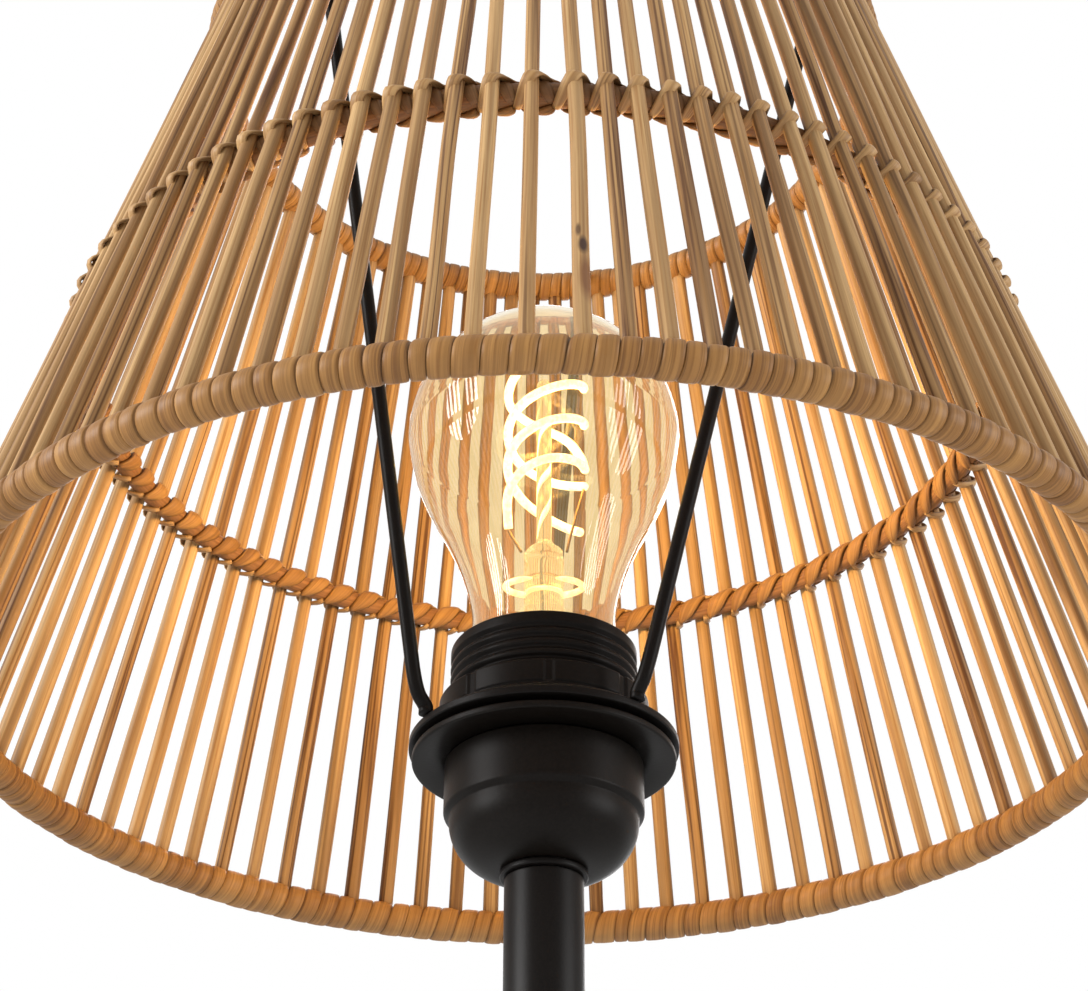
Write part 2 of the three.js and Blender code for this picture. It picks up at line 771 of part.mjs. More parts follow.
// Lashing: one endless strip that crosses each stick on the outside and the hoop on the inside.
// Four corners to a turn, all in the gaps between the sticks.
function makeLashing({ hoopRadius, midHeight, stickLine }) {
  const clear = gap + lashThickness / 2;
  const outer = stickLine + stickRadius * (1 + 2 * thicknessDriftShare + 2 * unevenShare) + clear;
  const inner = hoopRadius - midHoopThickness - clear;
  const rise = midHoopThickness + clear;
  const cornerShares = [
    [-0.42, outer, -1],
    [0.42, outer, 1],
    [0.46, inner, 1],
    [0.54, inner, -1],
  ];
  const centres = [];
  for (let k = 0; k < stickCount; k++) {
    for (const [pitchShare, radius, side] of cornerShares) {
      const place = outwards(stickTurn(k + pitchShare)).multiplyScalar(radius);
      centres.push(place.addScaledVector(upwards, midHeight + side * rise));
    }
  }
  const count = centres.length;
  const rings = centres.map((centre, i) => {
    const along = centres[(i + 1) % count].clone().sub(centres[(i + count - 1) % count]).normalize();
    const hub = new THREE.Vector3(centre.x, centre.y, 0).setLength((inner + outer) / 2);
    hub.z = midHeight;
    const out = centre.clone().sub(hub);
    out.addScaledVector(along, -out.dot(along)).normalize();
    const across = along.clone().cross(out);
    return [[1, 1], [1, -1], [-1, -1], [-1, 1]].map(([a, b]) =>
      centre
        .clone()
        .addScaledVector(across, (a * lashWidth) / 2)
        .addScaledVector(out, (b * lashThickness) / 2),
    );
  });
  addPiece("mid_lashing", lofted(rings, true), "peel");
}

function makeRims() {
  const bottomShares = [[0, 1.2], [0.26, 0], [0.5, 1], [0.74, 0]];
  const topShares = [[0, 1.2], [0.5, 0]];
  const topHeight = rimPlane + topRimHeight;
  addPiece("bottom_rim", wrappedRim(bottomRimRadius, rimPlane, bottomRimThickness, 1, bottomShares), "peel");
  addPiece("top_rim", wrappedRim(topRimRadius, topHeight, topRimThickness, -1, topShares), "peel");
}

// Bulb: glass, cap, insulator and eyelet, with the stem and the filament inside.
function makeBulb() {
  // Half widths of the pear shape below its sphere, as shares of the way from the neck to the centre.
  const pearShares = [[0, 0], [0.18, 0.03], [0.34, 0.16], [0.5, 0.38], [0.66, 0.66], [0.82, 0.88]];
  const swell = bulbRadius - bulbNeckRadius;
  const neckLow = capTop + gap;
  const outline = (inset) => [
    ...pearShares.map(([riseShare, swellShare]) => [
      bulbNeckRadius + swell * swellShare - inset,
      THREE.MathUtils.lerp(neckLow, bulbCentre, riseShare),
    ]),
    ...quarterArc(0, bulbCentre, bulbRadius - inset, bulbRadius - inset, arcSteps + 1),
  ];
  const outside = outline(0);
  const inside = outline(bulbWall);
  addPiece("bulb_glass", turned([...inside.reverse(), ...outside], middling), "glass");

  const shellLow = capTop - capShellLength;
  const insulatorLow = eyeletBottom + eyeletHeight + gap;
  const cap = turned(
    [
      [capRadius - capWall, shellLow],
      [capRadius, shellLow],
      [capRadius, capTop - 3 * capWall],
      [bulbNeckRadius, capTop - capWall],
      [bulbNeckRadius, capTop],
      [capRadius - capWall, capTop - 2 * capWall],
    ],
    middling,
  );
  addPiece("bulb_cap", cap, "nickel");
  const insulator = turned(
    [
      [0, insulatorLow],
      [eyeletRadius + gap, insulatorLow],
      [capRadius, shellLow - 2 * gap],
      [capRadius, shellLow - gap],
      [0, shellLow - gap],
    ],
    slim,
  );
  addPiece("cap_insulator", insulator, "blackPlastic");
  addPiece("bulb_eyelet", disc(eyeletRadius, eyeletBottom, eyeletBottom + eyeletHeight, slim), "nickel");

  const board = new THREE.BoxGeometry(driverWidth, driverThickness, driverLength);
  board.translate(0, 0, shellLow + driverLength / 2);
  addPiece("bulb_driver", closed(board), "circuit");

  makeStemAndFilament();
}

// Inside the glass: the stem with its rod, the spiral filament and the two leads that hold it.
function makeStemAndFilament() {
  const pinch = capTop + stemTubeHeight;
  const footLow = capTop + 2 * gap;
  const reach = bulbNeckRadius - bulbWall - gap;
  const rodFoot = pinch + stemRodRadius;
  const rodTop = pinch + stemRodLength;
  const stem = turned(
    [
      [0, footLow],
      [reach, footLow],
      [reach, footLow + bulbWall],
      [stemTubeRadius, capTop + stemFlareHeight],
      [stemTubeRadius, pinch],
      [stemRodRadius, rodFoot],
      [stemRodRadius, rodTop],
      [stemRodRadius / 2, rodTop + stemRodRadius / 2],
      [0, rodTop + stemRodRadius / 2],
    ],
    slim,
  );
  addPiece("bulb_stem", stem, "glass");

  const spiralLow = pinch + spiralFootAbovePinch;
  const steps = Math.round(spiralTurns * slim);
  const path = [];
  for (let i = 0; i <= steps; i++) {
    const angle = 2 * Math.PI * spiralTurns * (i / steps);
    path.push(
      new THREE.Vector3(
        spiralOffset + spiralRadius * Math.cos(angle),
        spiralRadius * Math.sin(angle),
        spiralLow + spiralHeight * (i / steps),
      ),
    );
  }
  const spiralEnd = path[steps];
  const strandFoot = pinch + strandFootAbovePinch;
  path.push(
    new THREE.Vector3((spiralEnd.x - strandOffset) / 2, -spiralRadius / 4, spiralEnd.z + 2 * filamentRadius),
    new THREE.Vector3(-strandOffset, 0, spiralEnd.z - filamentRadius),
    new THREE.Vector3(-strandOffset, 0, (spiralEnd.z + strandFoot) / 2),
    new THREE.Vector3(-strandOffset, 0, strandFoot),
  );
  addPiece("bulb_filament", wire(path, filamentRadius, stickSides), "glow");

  const away = leadWireRadius + gap;
  const leads = [
    [-1, strandFoot, -strandOffset],
    [1, spiralLow, path[0].x],
  ];
  leads.forEach(([side, height, x], i) => {
    const foot = new THREE.Vector3(side * (stemTubeRadius + away), 0, pinch);
    const tip = new THREE.Vector3(x, 0, height - filamentRadius - away);
    const bend = foot.clone().lerp(tip, 0.5);
    addPiece("filament_lead_" + (i + 1), wire([foot, bend, tip], leadWireRadius, stickSides), "nickel");
  });
}

const nippleBottom = makeBase();
makeInlet();
makePole();
const holderNippleTop = makeHolderBody();
const leadTop = holderNippleTop + gap;
makeLead(nippleBottom, leadTop);
makeHolderInside(leadTop);
makeRetainingRing();
makeCarrier();
makeRims();
makeLashing(makeCage());
makeBulb();

export default group;
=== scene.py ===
import json
import math

import bpy
import numpy as np
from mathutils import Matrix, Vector


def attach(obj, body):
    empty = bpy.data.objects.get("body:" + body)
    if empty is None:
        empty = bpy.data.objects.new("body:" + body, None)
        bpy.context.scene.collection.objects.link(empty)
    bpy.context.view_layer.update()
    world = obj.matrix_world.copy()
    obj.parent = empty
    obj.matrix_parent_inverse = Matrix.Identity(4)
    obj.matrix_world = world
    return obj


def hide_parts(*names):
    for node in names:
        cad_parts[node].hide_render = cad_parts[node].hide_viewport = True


# Rattan floor lamp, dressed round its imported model. Metres, +Z up, origin on the floor under the pole.
# Sizes in the pieces' dictionaries are millimetres, which mm takes to metres. Looks, studio and camera use
# metres.

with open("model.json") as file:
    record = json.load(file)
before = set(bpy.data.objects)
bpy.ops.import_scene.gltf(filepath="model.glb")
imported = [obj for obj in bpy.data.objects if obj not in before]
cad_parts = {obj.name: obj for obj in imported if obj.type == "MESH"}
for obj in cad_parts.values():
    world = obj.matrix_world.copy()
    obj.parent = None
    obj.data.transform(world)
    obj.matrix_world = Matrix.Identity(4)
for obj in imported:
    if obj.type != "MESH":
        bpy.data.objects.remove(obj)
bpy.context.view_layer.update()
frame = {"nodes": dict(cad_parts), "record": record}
scene = bpy.context.scene
mm = 0.001
fullTurn = 2 * math.pi
print("frame loaded")


def fillMesh(points, quads, corners, uv, shade):
    # One mesh from whole arrays: four-corner faces, then triangles. A negative enclosed volume,
    # the sum of p . (q x r) over all triangles, means that the faces point inwards, so they are reversed.
    triangles = np.concatenate([quads[:, [0, 1, 2]], quads[:, [0, 2, 3]], corners])
    p, q, r = (points[triangles[:, i]] for i in range(3))
    if np.einsum("ij,ij->i", p, np.cross(q, r)).sum() < 0:
        quads, corners = quads[:, ::-1], corners[:, ::-1]
        if uv is not None:
            perFace = (uv[: quads.size].reshape(-1, 4, 2), uv[quads.size :].reshape(-1, 3, 2))
            uv = np.concatenate([values[:, ::-1].reshape(-1, 2) for values in perFace])
    loops = np.concatenate([quads.ravel(), corners.ravel()])
    starts = np.concatenate([np.arange(len(quads)) * 4, quads.size + np.arange(len(corners)) * 3])
    mesh = bpy.data.meshes.new("piece")
    mesh.vertices.add(len(points))
    mesh.vertices.foreach_set("co", points.astype(np.float32).ravel())
    mesh.loops.add(len(loops))
    mesh.loops.foreach_set("vertex_index", loops.astype(np.int32))
    mesh.polygons.add(len(starts))
    mesh.polygons.foreach_set("loop_start", starts.astype(np.int32))
    mesh.update(calc_edges=True)
    mesh.shade_smooth()
    if uv is not None:
        mesh.uv_layers.new(name="UVMap").data.foreach_set("uv", uv.astype(np.float32).ravel())
    for key, values in shade.items():
        attribute = mesh.attributes.new(key, "FLOAT", "POINT")
        attribute.data.foreach_set("value", values.astype(np.float32).ravel())
    mesh.validate()
    return mesh


def gridMesh(grid, closedAlong=False, uv=None, shade=None, loopUv=None, shift=0):
    # grid is (copies, along, around, 3), made of closed rings. Neighbours along and around make the faces
    # of each copy; an open run of rings gets a fan to the middle of its first and of its last ring.
    # Where a ring closes, it joins the ring that is shift places further along.
    grid = np.asarray(grid, float)
    if grid.ndim == 3:
        grid = grid[None]
    copies, along, around, _ = grid.shape
    cells = along if closedAlong else along - 1
    a, r = np.meshgrid(np.arange(cells), np.arange(around), indexing="ij")
    steps = [(0, 0), (1, 0), (1, 1), (0, 1)]
    rings = [(a + i + shift * ((r + j) // around)) % along for i, j in steps]
    face = np.stack([ring * around + (r + j) % around for ring, (_, j) in zip(rings, steps)], -1)
    offsets = (np.arange(copies) * along * around)[:, None, None]
    quads = (face.reshape(-1, 4)[None] + offsets).reshape(-1, 4)
    points = grid.reshape(-1, 3)
    corners = np.zeros((0, 3), np.int64)
    shade = {key: np.broadcast_to(values, grid.shape[:3]) for key, values in (shade or {}).items()}
    if uv is not None:
        uv = np.broadcast_to(uv, (copies, cells + 1, around + 1, 2))
        loopUv = np.stack([uv[:, i : i + cells, j : j + around] for i, j in steps], -2).reshape(-1, 2)
    if not closedAlong:
        ring = np.arange(around)
        onward = (ring + 1) % around
        for end, first, second in ((0, ring, onward), (1, onward, ring)):
            start = end * (along - 1) * around
            fan = np.stack([0 * ring, start + first, start + second], -1) + offsets
            fan[:, :, 0] = (len(points) + 2 * np.arange(copies) + end)[:, None]
            corners = np.concatenate([corners, fan.reshape(-1, 3)])
            if uv is not None:
                edge = np.broadcast_to(uv[:, end * cells, 0][:, None, None], (copies, around, 3, 2))
                loopUv = np.concatenate([loopUv, edge.reshape(-1, 2)])
        middles = np.stack([grid[:, 0].mean(1), grid[:, -1].mean(1)], 1)
        points = np.concatenate([points, middles.reshape(-1, 3)])
        shade = {key: np.append(values, values[:, [0, -1], 0]) for key, values in shade.items()}
    return fillMesh(points, quads, corners, loopUv, shade)


def addObject(name, data):
    made = bpy.data.objects.new(name, data)
    scene.collection.objects.link(made)
    return made


def addPiece(name, mesh, body, slot, *nodes, material=None):
    piece = addObject(name, mesh)
    mesh.name = name
    mesh.materials.append(material or finishes[slot])
    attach(piece, body)
    if nodes:
        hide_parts(*nodes)
    return piece


def bend(t, a, corner, b):
    # the curve from a to b that leaves and arrives along the lines to the corner
    return (1 - t) ** 2 * a + 2 * t * (1 - t) * corner + t**2 * b


def softened(profile, radius, closedLoop=True, steps=4):
    # Corners of a profile made round: each is left for points on the curve from one side to the
    # other, with one more point on each side so that flats stay flat.
    longestShare, guardShare = 0.36, 0.25  # of the shorter side, and of the cut
    profile = np.asarray(profile, float)
    radius = np.broadcast_to(np.asarray(radius, float), len(profile))[:, None]
    legs = np.stack([np.roll(profile, 1, 0), np.roll(profile, -1, 0)]) - profile
    lengths = np.linalg.norm(legs, axis=-1, keepdims=True)
    back, on = legs / lengths * np.minimum(radius, longestShare * lengths.min(0))
    a, b = profile + back, profile + on
    curve = bend(np.linspace(0, 1, steps + 1)[None, :, None], a[:, None], profile[:, None], b[:, None])
    guardA, guardB = a + back * guardShare, b + on * guardShare
    rounded = np.concatenate([guardA[:, None], curve, guardB[:, None]], 1)
    if closedLoop:
        return rounded.reshape(-1, 2)
    return np.concatenate([profile[:1], rounded[1:-1].reshape(-1, 2), profile[-1:]])


def roundAngles(count):
    return np.arange(count) / count * fullTurn


def arc(x, y, wide, high, angle):
    # points (x + wide cos a, y + high sin a) of an ellipse
    return np.stack([x + wide * np.cos(angle), y + high * np.sin(angle)], 1)


def pick(table, names):
    # the values of a dictionary under several names
    return [table[name] for name in names.split()]


def turnedGrid(profile, facets):
    # A profile of (radius, height) carried round Z: x = r cos a, y = r sin a, z = height.
    angle = roundAngles(facets)
    radius, height = profile[:, :1], profile[:, 1:]
    return np.stack([radius * np.cos(angle), radius * np.sin(angle), height + 0 * angle], -1)


def addTurned(name, profile, facets, softness, body, slot, node):
    # a piece turned from one closed profile in millimetres
    grid = turnedGrid(softened(profile, softness) * mm, facets)
    addPiece(name, gridMesh(grid, closedAlong=True), body, slot, node)


def unit(vectors):
    return vectors / np.linalg.norm(vectors, axis=-1, keepdims=True)


def squareTo(path, side):
    # the side laid square to the path, and path x side
    along = unit(np.gradient(path, axis=1))
    side = unit(side - (side * along).sum(-1, keepdims=True) * along)
    return side, np.cross(along, side)


def tubeGrid(path, radius, sides, firstSide=(0, 0, 1)):
    # path is (copies, along, 3). Each ring is radius (cos a side + sin a other), where side is the first
    # side laid square to the path and other is path x side.
    path = np.asarray(path, float)
    if path.ndim == 2:
        path = path[None]
    side, other = squareTo(path, np.broadcast_to(np.asarray(firstSide, float), path.shape))
    angle = roundAngles(sides)
    radius = np.broadcast_to(radius, path.shape[:2] + (sides,))[..., None]
    ring = np.cos(angle)[:, None] * side[:, :, None] + np.sin(angle)[:, None] * other[:, :, None]
    return path[:, :, None] + radius * ring


def throughPoints(points, steps):
    # Catmull-Rom curve through the points, steps samples to a span, as one array.
    points = np.asarray(points, float)
    p = np.concatenate([[2 * points[0] - points[1]], points, [2 * points[-1] - points[-2]]])
    t = (np.arange(steps) / steps)[None, :, None]
    p0, p1, p2, p3 = (p[i : len(p) - 3 + i][:, None] for i in range(4))
    square, cube = 2 * p0 - 5 * p1 + 4 * p2 - p3, 3 * p1 - p0 - 3 * p2 + p3
    curve = 0.5 * (2 * p1 + (p2 - p0) * t + square * t**2 + cube * t**3)
    return np.concatenate([curve.reshape(-1, points.shape[1]), points[-1:]])


def newMaterial(name, **sockets):
    material = bpy.data.materials.new(name)
    material.use_nodes = True
    shader = material.node_tree.nodes["Principled BSDF"]
    for key, value in sockets.items():
        shader.inputs[key.replace("_", " ")].default_value = value
    return material, material.node_tree, shader


def feed(tree, socket, value):
    if isinstance(value, bpy.types.NodeSocket):
        tree.links.new(value, socket)
    else:
        socket.default_value = value


def node(tree, kind, *values, **settings):
    # a new shader node: settings go to its sockets or properties by name, values to its first sockets in turn
    made = tree.nodes.new("ShaderNode" + kind)
    for key, value in settings.items():
        socket = key.replace("_", " ")
        if socket in made.inputs:
            made.inputs[socket].default_value = value
        else:
            setattr(made, key, value)
    for socket, value in zip(made.inputs, values):
        feed(tree, socket, value)
    return made


def rampOf(tree, value, *pairs):
    # the colour that a value finds on a ramp of (place, colour)
    ramp = node(tree, "ValToRGB", value)
    elements = ramp.color_ramp.elements
    elements.remove(elements[-1])
    for i, (place, colour) in enumerate(pairs):
        element = elements[0] if i == 0 else elements.new(place)
        element.position = place
        element.color = (*colour, 1)
    return ramp.outputs[0]


def mixColour(tree, factor, first, second):
    mix = node(tree, "Mix", factor, data_type="RGBA")
    for socket, value in ((mix.inputs[6], first), (mix.inputs[7], second)):
        feed(tree, socket, (*value, 1) if isinstance(value, tuple) else value)
    return mix.outputs[2]


def product(tree, first, second):
    return node(tree, "Math", first, second, operation="MULTIPLY").outputs[0]


def noiseOn(tree, vector, scale, detail, roughness=0.5):
    noise = node(tree, "TexNoise", vector, Scale=scale, Detail=detail, Roughness=roughness)
    return noise.outputs["Fac"]


def stretched(tree, vector, scale, offset=0.0):
    return node(tree, "Mapping", vector, Scale=scale, Location=(offset, offset, 0)).outputs[0]


def objectPlace(tree):
    return node(tree, "TexCoord").outputs["Object"]


def varyRoughness(tree, shader, value, low, high):
    rough = node(tree, "MapRange", value, To_Min=low, To_Max=high)
    feed(tree, shader.inputs["Roughness"], rough.outputs[0])


def giveRelief(tree, shader, value, strength, depth):
    relief = node(tree, "Bump", Strength=strength, Distance=depth)
    feed(tree, relief.inputs["Height"], value)
    feed(tree, shader.inputs["Normal"], relief.outputs[0])


caneLooks = {
    "pale": (0.47, 0.295, 0.13),
    "warm": (0.30, 0.152, 0.05),
    "brown": (0.085, 0.032, 0.01),
    # painted shade: the colour of the shade deep in the peel's slits and creases
    "creaseShade": (0.05, 0.018, 0.006),
    "streakAcross": 1500,  # streaks per metre round the stick
    "streakAlong": 22,
    "lineAcross": 400,  # dark lines per metre round the stick
    "lineAlong": 5,
    "lineStrength": 0.95,
    "lineWidth": 0.034,
    "patchStrength": 0.5,
    "roughness": 0.5,
    "bump": 0.25,
}
peelLooks = dict(
    caneLooks,
    pale=(0.33, 0.168, 0.051),
    warm=(0.22, 0.096, 0.025),
    streakAcross=2200,
    streakAlong=30,
    lineAcross=900,
    lineAlong=14,
    lineStrength=0.55,
    patchStrength=0.3,
    roughness=0.46,
    bump=0.3,
)
loopLooks = dict(peelLooks, pale=(0.44, 0.265, 0.112), warm=(0.30, 0.155, 0.055))
# the under-legs get a darker copy of the peel: painted shade from the outer loops that lie over them
shadedLegLooks = dict(peelLooks, pale=(0.26, 0.135, 0.055), warm=(0.17, 0.08, 0.03))
hoopLooks = dict(peelLooks, pale=(0.235, 0.105, 0.034), warm=(0.16, 0.064, 0.02))
# the one dark knot and its stain, on a stick at the front: middle, half sizes, colour and strength
knotSpots = (
    ((0.0066, -0.1198, 1.2903), (0.0011, 0.004, 0.0029), (0.035, 0.014, 0.009), 0.95),
    ((0.0058, -0.1189, 1.2943), (0.0006, 0.004, 0.0022), (0.05, 0.02, 0.01), 0.8),
    ((0.0071, -0.1213, 1.2818), (0.0016, 0.005, 0.0075), (0.15, 0.055, 0.02), 0.8),
)
white, black = (1, 1, 1), (0, 0, 0)


def knotted(tree, colour):
    # dark spots: the stretched distance from each spot's middle, from full inside to none at one half size
    place = objectPlace(tree)
    for middle, size, dark, strength in knotSpots:
        toSpot = node(tree, "VectorMath", place, middle, operation="SUBTRACT").outputs[0]
        scaled = node(tree, "VectorMath", toSpot, size, operation="DIVIDE").outputs[0]
        away = node(tree, "VectorMath", scaled, operation="LENGTH").outputs["Value"]
        spot = rampOf(tree, away, (0.45, white), (1.0, black))
        colour = mixColour(tree, product(tree, spot, strength), colour, dark)
    return colour


def caneMaterial(name, looks, knots=False):
    # Fine streaks and broad patches, then thin dark lines where a slow noise passes one half, so that they
    # run on along the fibre like contour lines. The attributes set a stick's own tone and, through dark,
    # painted shade in the slits and creases of the peel.
    material, tree, shader = newMaterial(name, IOR=1.45, Specular_IOR_Level=0.28)
    uv = node(tree, "UVMap", uv_map="UVMap").outputs[0]
    attributes = [node(tree, "Attribute", attribute_name=key) for key in ("tone", "dark")]
    tone, dark = (attribute.outputs["Fac"] for attribute in attributes)
    warm, pale, brown, half = pick(looks, "warm pale brown lineWidth")
    bright = tuple(c * 1.16 for c in pale)
    shadow = tuple((a + b) / 2 for a, b in zip(warm, brown))

    def fibres(across, along, detail, offset=0.0):
        # noise on the piece's own UV, stretched along the fibre
        return noiseOn(tree, stretched(tree, uv, (across, along, 1), offset), 1.0, detail, 0.6)

    streaks = fibres(looks["streakAcross"], looks["streakAlong"], 4.0)
    broad = fibres(looks["lineAcross"] * 0.8, looks["lineAlong"] * 1.7, 1.0, 7.3)
    slow = fibres(looks["lineAcross"], looks["lineAlong"], 1.0, 3.1)
    fine = rampOf(tree, streaks, (0.34, warm), (0.5, pale), (0.66, bright))
    toned = mixColour(tree, tone, fine, warm)
    patch = rampOf(tree, broad, (0.42, white), (0.62, black))
    patched = mixColour(tree, product(tree, patch, looks["patchStrength"]), toned, shadow)
    inner, outer = half / 2, 2 * half
    narrow = ((0.5 - outer, black), (0.5 - inner, white), (0.5 + inner, white), (0.5 + outer, black))
    lines = rampOf(tree, slow, *narrow)
    aged = rampOf(tree, tone, (0.05, (0.25,) * 3), (0.38, white))
    broken = rampOf(tree, streaks, (0.38, (0.35,) * 3), (0.52, white))
    worn = product(tree, product(tree, lines, aged), product(tree, broken, looks["lineStrength"]))
    lined = mixColour(tree, worn, patched, brown)
    # dark mixes in the painted shade of the slits and creases
    final = mixColour(tree, dark, lined, looks["creaseShade"])
    feed(tree, shader.inputs["Base Color"], knotted(tree, final) if knots else final)
    varyRoughness(tree, shader, streaks, looks["roughness"] - 0.1, looks["roughness"] + 0.16)
    giveRelief(tree, shader, streaks, looks["bump"], 0.0003)
    return material


def grainMaterial(name, colour, second, scale, roughness, spread, bump, detail=3.0, **sockets):
    # Two close colours mixed by noise on object coordinates, with the same noise in roughness and bump.
    material, tree, shader = newMaterial(name, **sockets)
    noise = noiseOn(tree, objectPlace(tree), scale, detail, 0.6)
    feed(tree, shader.inputs["Base Color"], rampOf(tree, noise, (0.35, colour), (0.65, second)))
    varyRoughness(tree, shader, noise, roughness - spread, roughness + spread)
    giveRelief(tree, shader, noise, bump, 0.0002)
    return material


def glassMaterial(name, tint, second, wave=0.0, glow=0.0):
    # Clear glass with its tint in faint vertical streaks, by noise stretched along Z.
    material, tree, shader = newMaterial(name, IOR=1.47, Transmission_Weight=1.0, Roughness=0.0)
    noise = noiseOn(tree, stretched(tree, objectPlace(tree), (260, 260, 14)), 1.0, 3.0)
    feed(tree, shader.inputs["Base Color"], rampOf(tree, noise, (0.35, tint), (0.65, second)))
    # painted light: glow sets a faint warm emission, the filament's light caught in the glass
    shader.inputs["Emission Color"].default_value = (1.0, 0.78, 0.42, 1)
    shader.inputs["Emission Strength"].default_value = glow
    if wave:
        giveRelief(tree, shader, noise, wave, 0.0004)
    return material


def glowMaterial(name, core, edge, strength):
    # A lit coating: emission whose colour drifts between two warm whites by noise on object coordinates.
    material, tree, shader = newMaterial(name, Roughness=0.4, Emission_Strength=strength)
    colour = rampOf(tree, noiseOn(tree, objectPlace(tree), 900.0, 2.0), (0.4, core), (0.6, edge))
    feed(tree, shader.inputs["Base Color"], colour)
    feed(tree, shader.inputs["Emission Color"], colour)
    return material


metal = {"Metallic": 1}
# by slot: name, two colours, noise scale, roughness, its spread, strength of the relief, other settings.
# The lead wires have a look of their own, which is no slot.
grains = {
    "black_metal": (
        "black_powder_coat", (0.0038, 0.003, 0.0026), (0.006, 0.0048, 0.0042), 2600, 0.38, 0.05, 0.12,
        {"Specular_IOR_Level": 0.09},
    ),
    "black_plastic": (
        "black_moulding", (0.0042, 0.0031, 0.0024), (0.0062, 0.0047, 0.0037), 1500, 0.4, 0.06, 0.08,
        {"Specular_IOR_Level": 0.085},
    ),
    "steel": ("zinc_plate", (0.5, 0.5, 0.52), (0.62, 0.61, 0.6), 700, 0.34, 0.08, 0.1, metal),
    "iron": ("cast_iron", (0.1, 0.1, 0.105), (0.16, 0.155, 0.15), 420, 0.7, 0.12, 0.5, {"Metallic": 0.6}),
    "brass": ("plain_brass", (0.62, 0.43, 0.18), (0.72, 0.54, 0.26), 500, 0.3, 0.08, 0.1, metal),
    "nickel": ("nickel_plate", (0.66, 0.63, 0.57), (0.74, 0.71, 0.66), 600, 0.25, 0.07, 0.08, metal),
    "rubber": ("soft_rubber", (0.018, 0.018, 0.018), (0.028, 0.027, 0.026), 1800, 0.75, 0.08, 0.2, {}),
    "felt": ("black_felt", (0.015, 0.015, 0.017), (0.04, 0.04, 0.043), 2400, 0.95, 0.04, 0.8, {"detail": 6}),
    "insulator": ("dark_insulator", (0.014, 0.012, 0.011), (0.022, 0.019, 0.017), 1200, 0.5, 0.08, 0.1, {}),
    "cable": ("cable_sheath", (0.02, 0.02, 0.02), (0.03, 0.029, 0.028), 900, 0.55, 0.06, 0.1, {}),
    "circuit": ("green_board", (0.02, 0.11, 0.04), (0.035, 0.15, 0.06), 1100, 0.4, 0.08, 0.1, {}),
    "lead": (
        "lead_bronze", (0.2, 0.115, 0.045), (0.27, 0.16, 0.065), 600, 0.35, 0.07, 0.08, {"Metallic": 0.8},
    ),
}
finishes = {slot: grainMaterial(*look[:-1], **look[-1]) for slot, look in grains.items()}
finishes.update(
    rattan=caneMaterial("cane_hoop", hoopLooks),
    peel=caneMaterial("cane_peel", peelLooks),
    # both glasses get a faint painted glow of the filament's light
    bulb_glass=glassMaterial("amber_glass", (0.875, 0.745, 0.515), (0.915, 0.805, 0.595), glow=0.035),
    stem_glass=glassMaterial("stem_clear_glass", (0.95, 0.84, 0.62), (0.99, 0.95, 0.86), 0.35, 0.17),
    filament=glowMaterial("lit_filament", (1.0, 0.93, 0.66), (1.0, 0.86, 0.46), 1.9),
)
caneStick = caneMaterial("cane_stick", caneLooks, knots=True)
caneLoop = caneMaterial("cane_loop", loopLooks)
shadedCaneLeg = caneMaterial("cane_leg_shaded", shadedLegLooks)
dimCoating = glowMaterial("dim_filament", (1.0, 0.90, 0.60), (1.0, 0.80, 0.40), 1.15)
for part in frame["record"]["subparts"]:
    mesh = frame["nodes"][part["node"]].data
    mesh.materials.clear()
    mesh.materials.append(finishes[part["material_slot"]])
print("materials made")

shade = {
    "rimPlane": 1263.3,
    "bottomRimRadius": 125.0,
    "topRimRadius": 81.5,
    "topRimHeight": 176.5,
    "midHoopHeight": 77.0,
    "stickCount": 94,
    "stickRadius": 1.7,
    "firstStickTurnShare": -1.9 / 360,
    "spacingDriftShare": 0.114,
    "thicknessDriftShare": 0.1,
    # where handwork set the front sticks off their even places: stick number and degrees
    "strayed": (
        (-6, 0), (-2, -0.29), (-1, -0.22), (0, 0.44), (1, 1.28), (2, 1.18), (3, 1.03), (5, 0.74), (8, 0.3),
        (11, 0),
    ),
    "seed": 11,
}
draw = np.random.default_rng(shade["seed"])
stickNumbers = np.arange(shade["stickCount"])
grainReach = 9  # each stick and band starts its grain somewhere in this many metres


def stickTurn(k):
    # Angle of stick k from -Y towards +X: even spacing u, closer at the front by u - drift sin u, and the
    # front sticks moved by what lies between their neighbours' strayed angles.
    k = np.asarray(k, float)
    even = fullTurn * (k / shade["stickCount"] + shade["firstStickTurnShare"])
    numbers, degrees = np.array(shade["strayed"]).T
    nearest = (k + shade["stickCount"] / 2) % shade["stickCount"] - shade["stickCount"] / 2
    return even - shade["spacingDriftShare"] * np.sin(even) + np.radians(np.interp(nearest, numbers, degrees))


def thicknessAt(turn):
    return 1 - shade["thicknessDriftShare"] * np.cos(turn)


def outwards(turn):
    return np.stack([np.sin(turn), -np.cos(turn), np.zeros_like(turn)], -1)


def coneRadius(height):
    # radius of the sticks' cone at a height above the bottom rim's plane
    share = np.asarray(height, float) / shade["topRimHeight"]
    return shade["bottomRimRadius"] + (shade["topRimRadius"] - shade["bottomRimRadius"]) * share


def laidOut(across, along):
    return np.stack(np.broadcast_arrays(across, along), -1)


sticks = {
    "sides": 12,
    "rings": 25,
    "overrun": 1.2,  # past the planes of the rims
    "bow": 0.45,  # how far a stick wanders off its line
    "leanShare": 0.8,  # its wander outwards, as a share of the bow
    "calmReach": 14,  # how far from the middle hoop that wander stays small
    "thickSpread": 0.05,
    "swell": 0.03,
    "roundness": 0.06,
    "girth": 10.7,
    "tone": 0.28,
    "toneDeviation": 0.26,
    "toneStrength": 0.85,
}


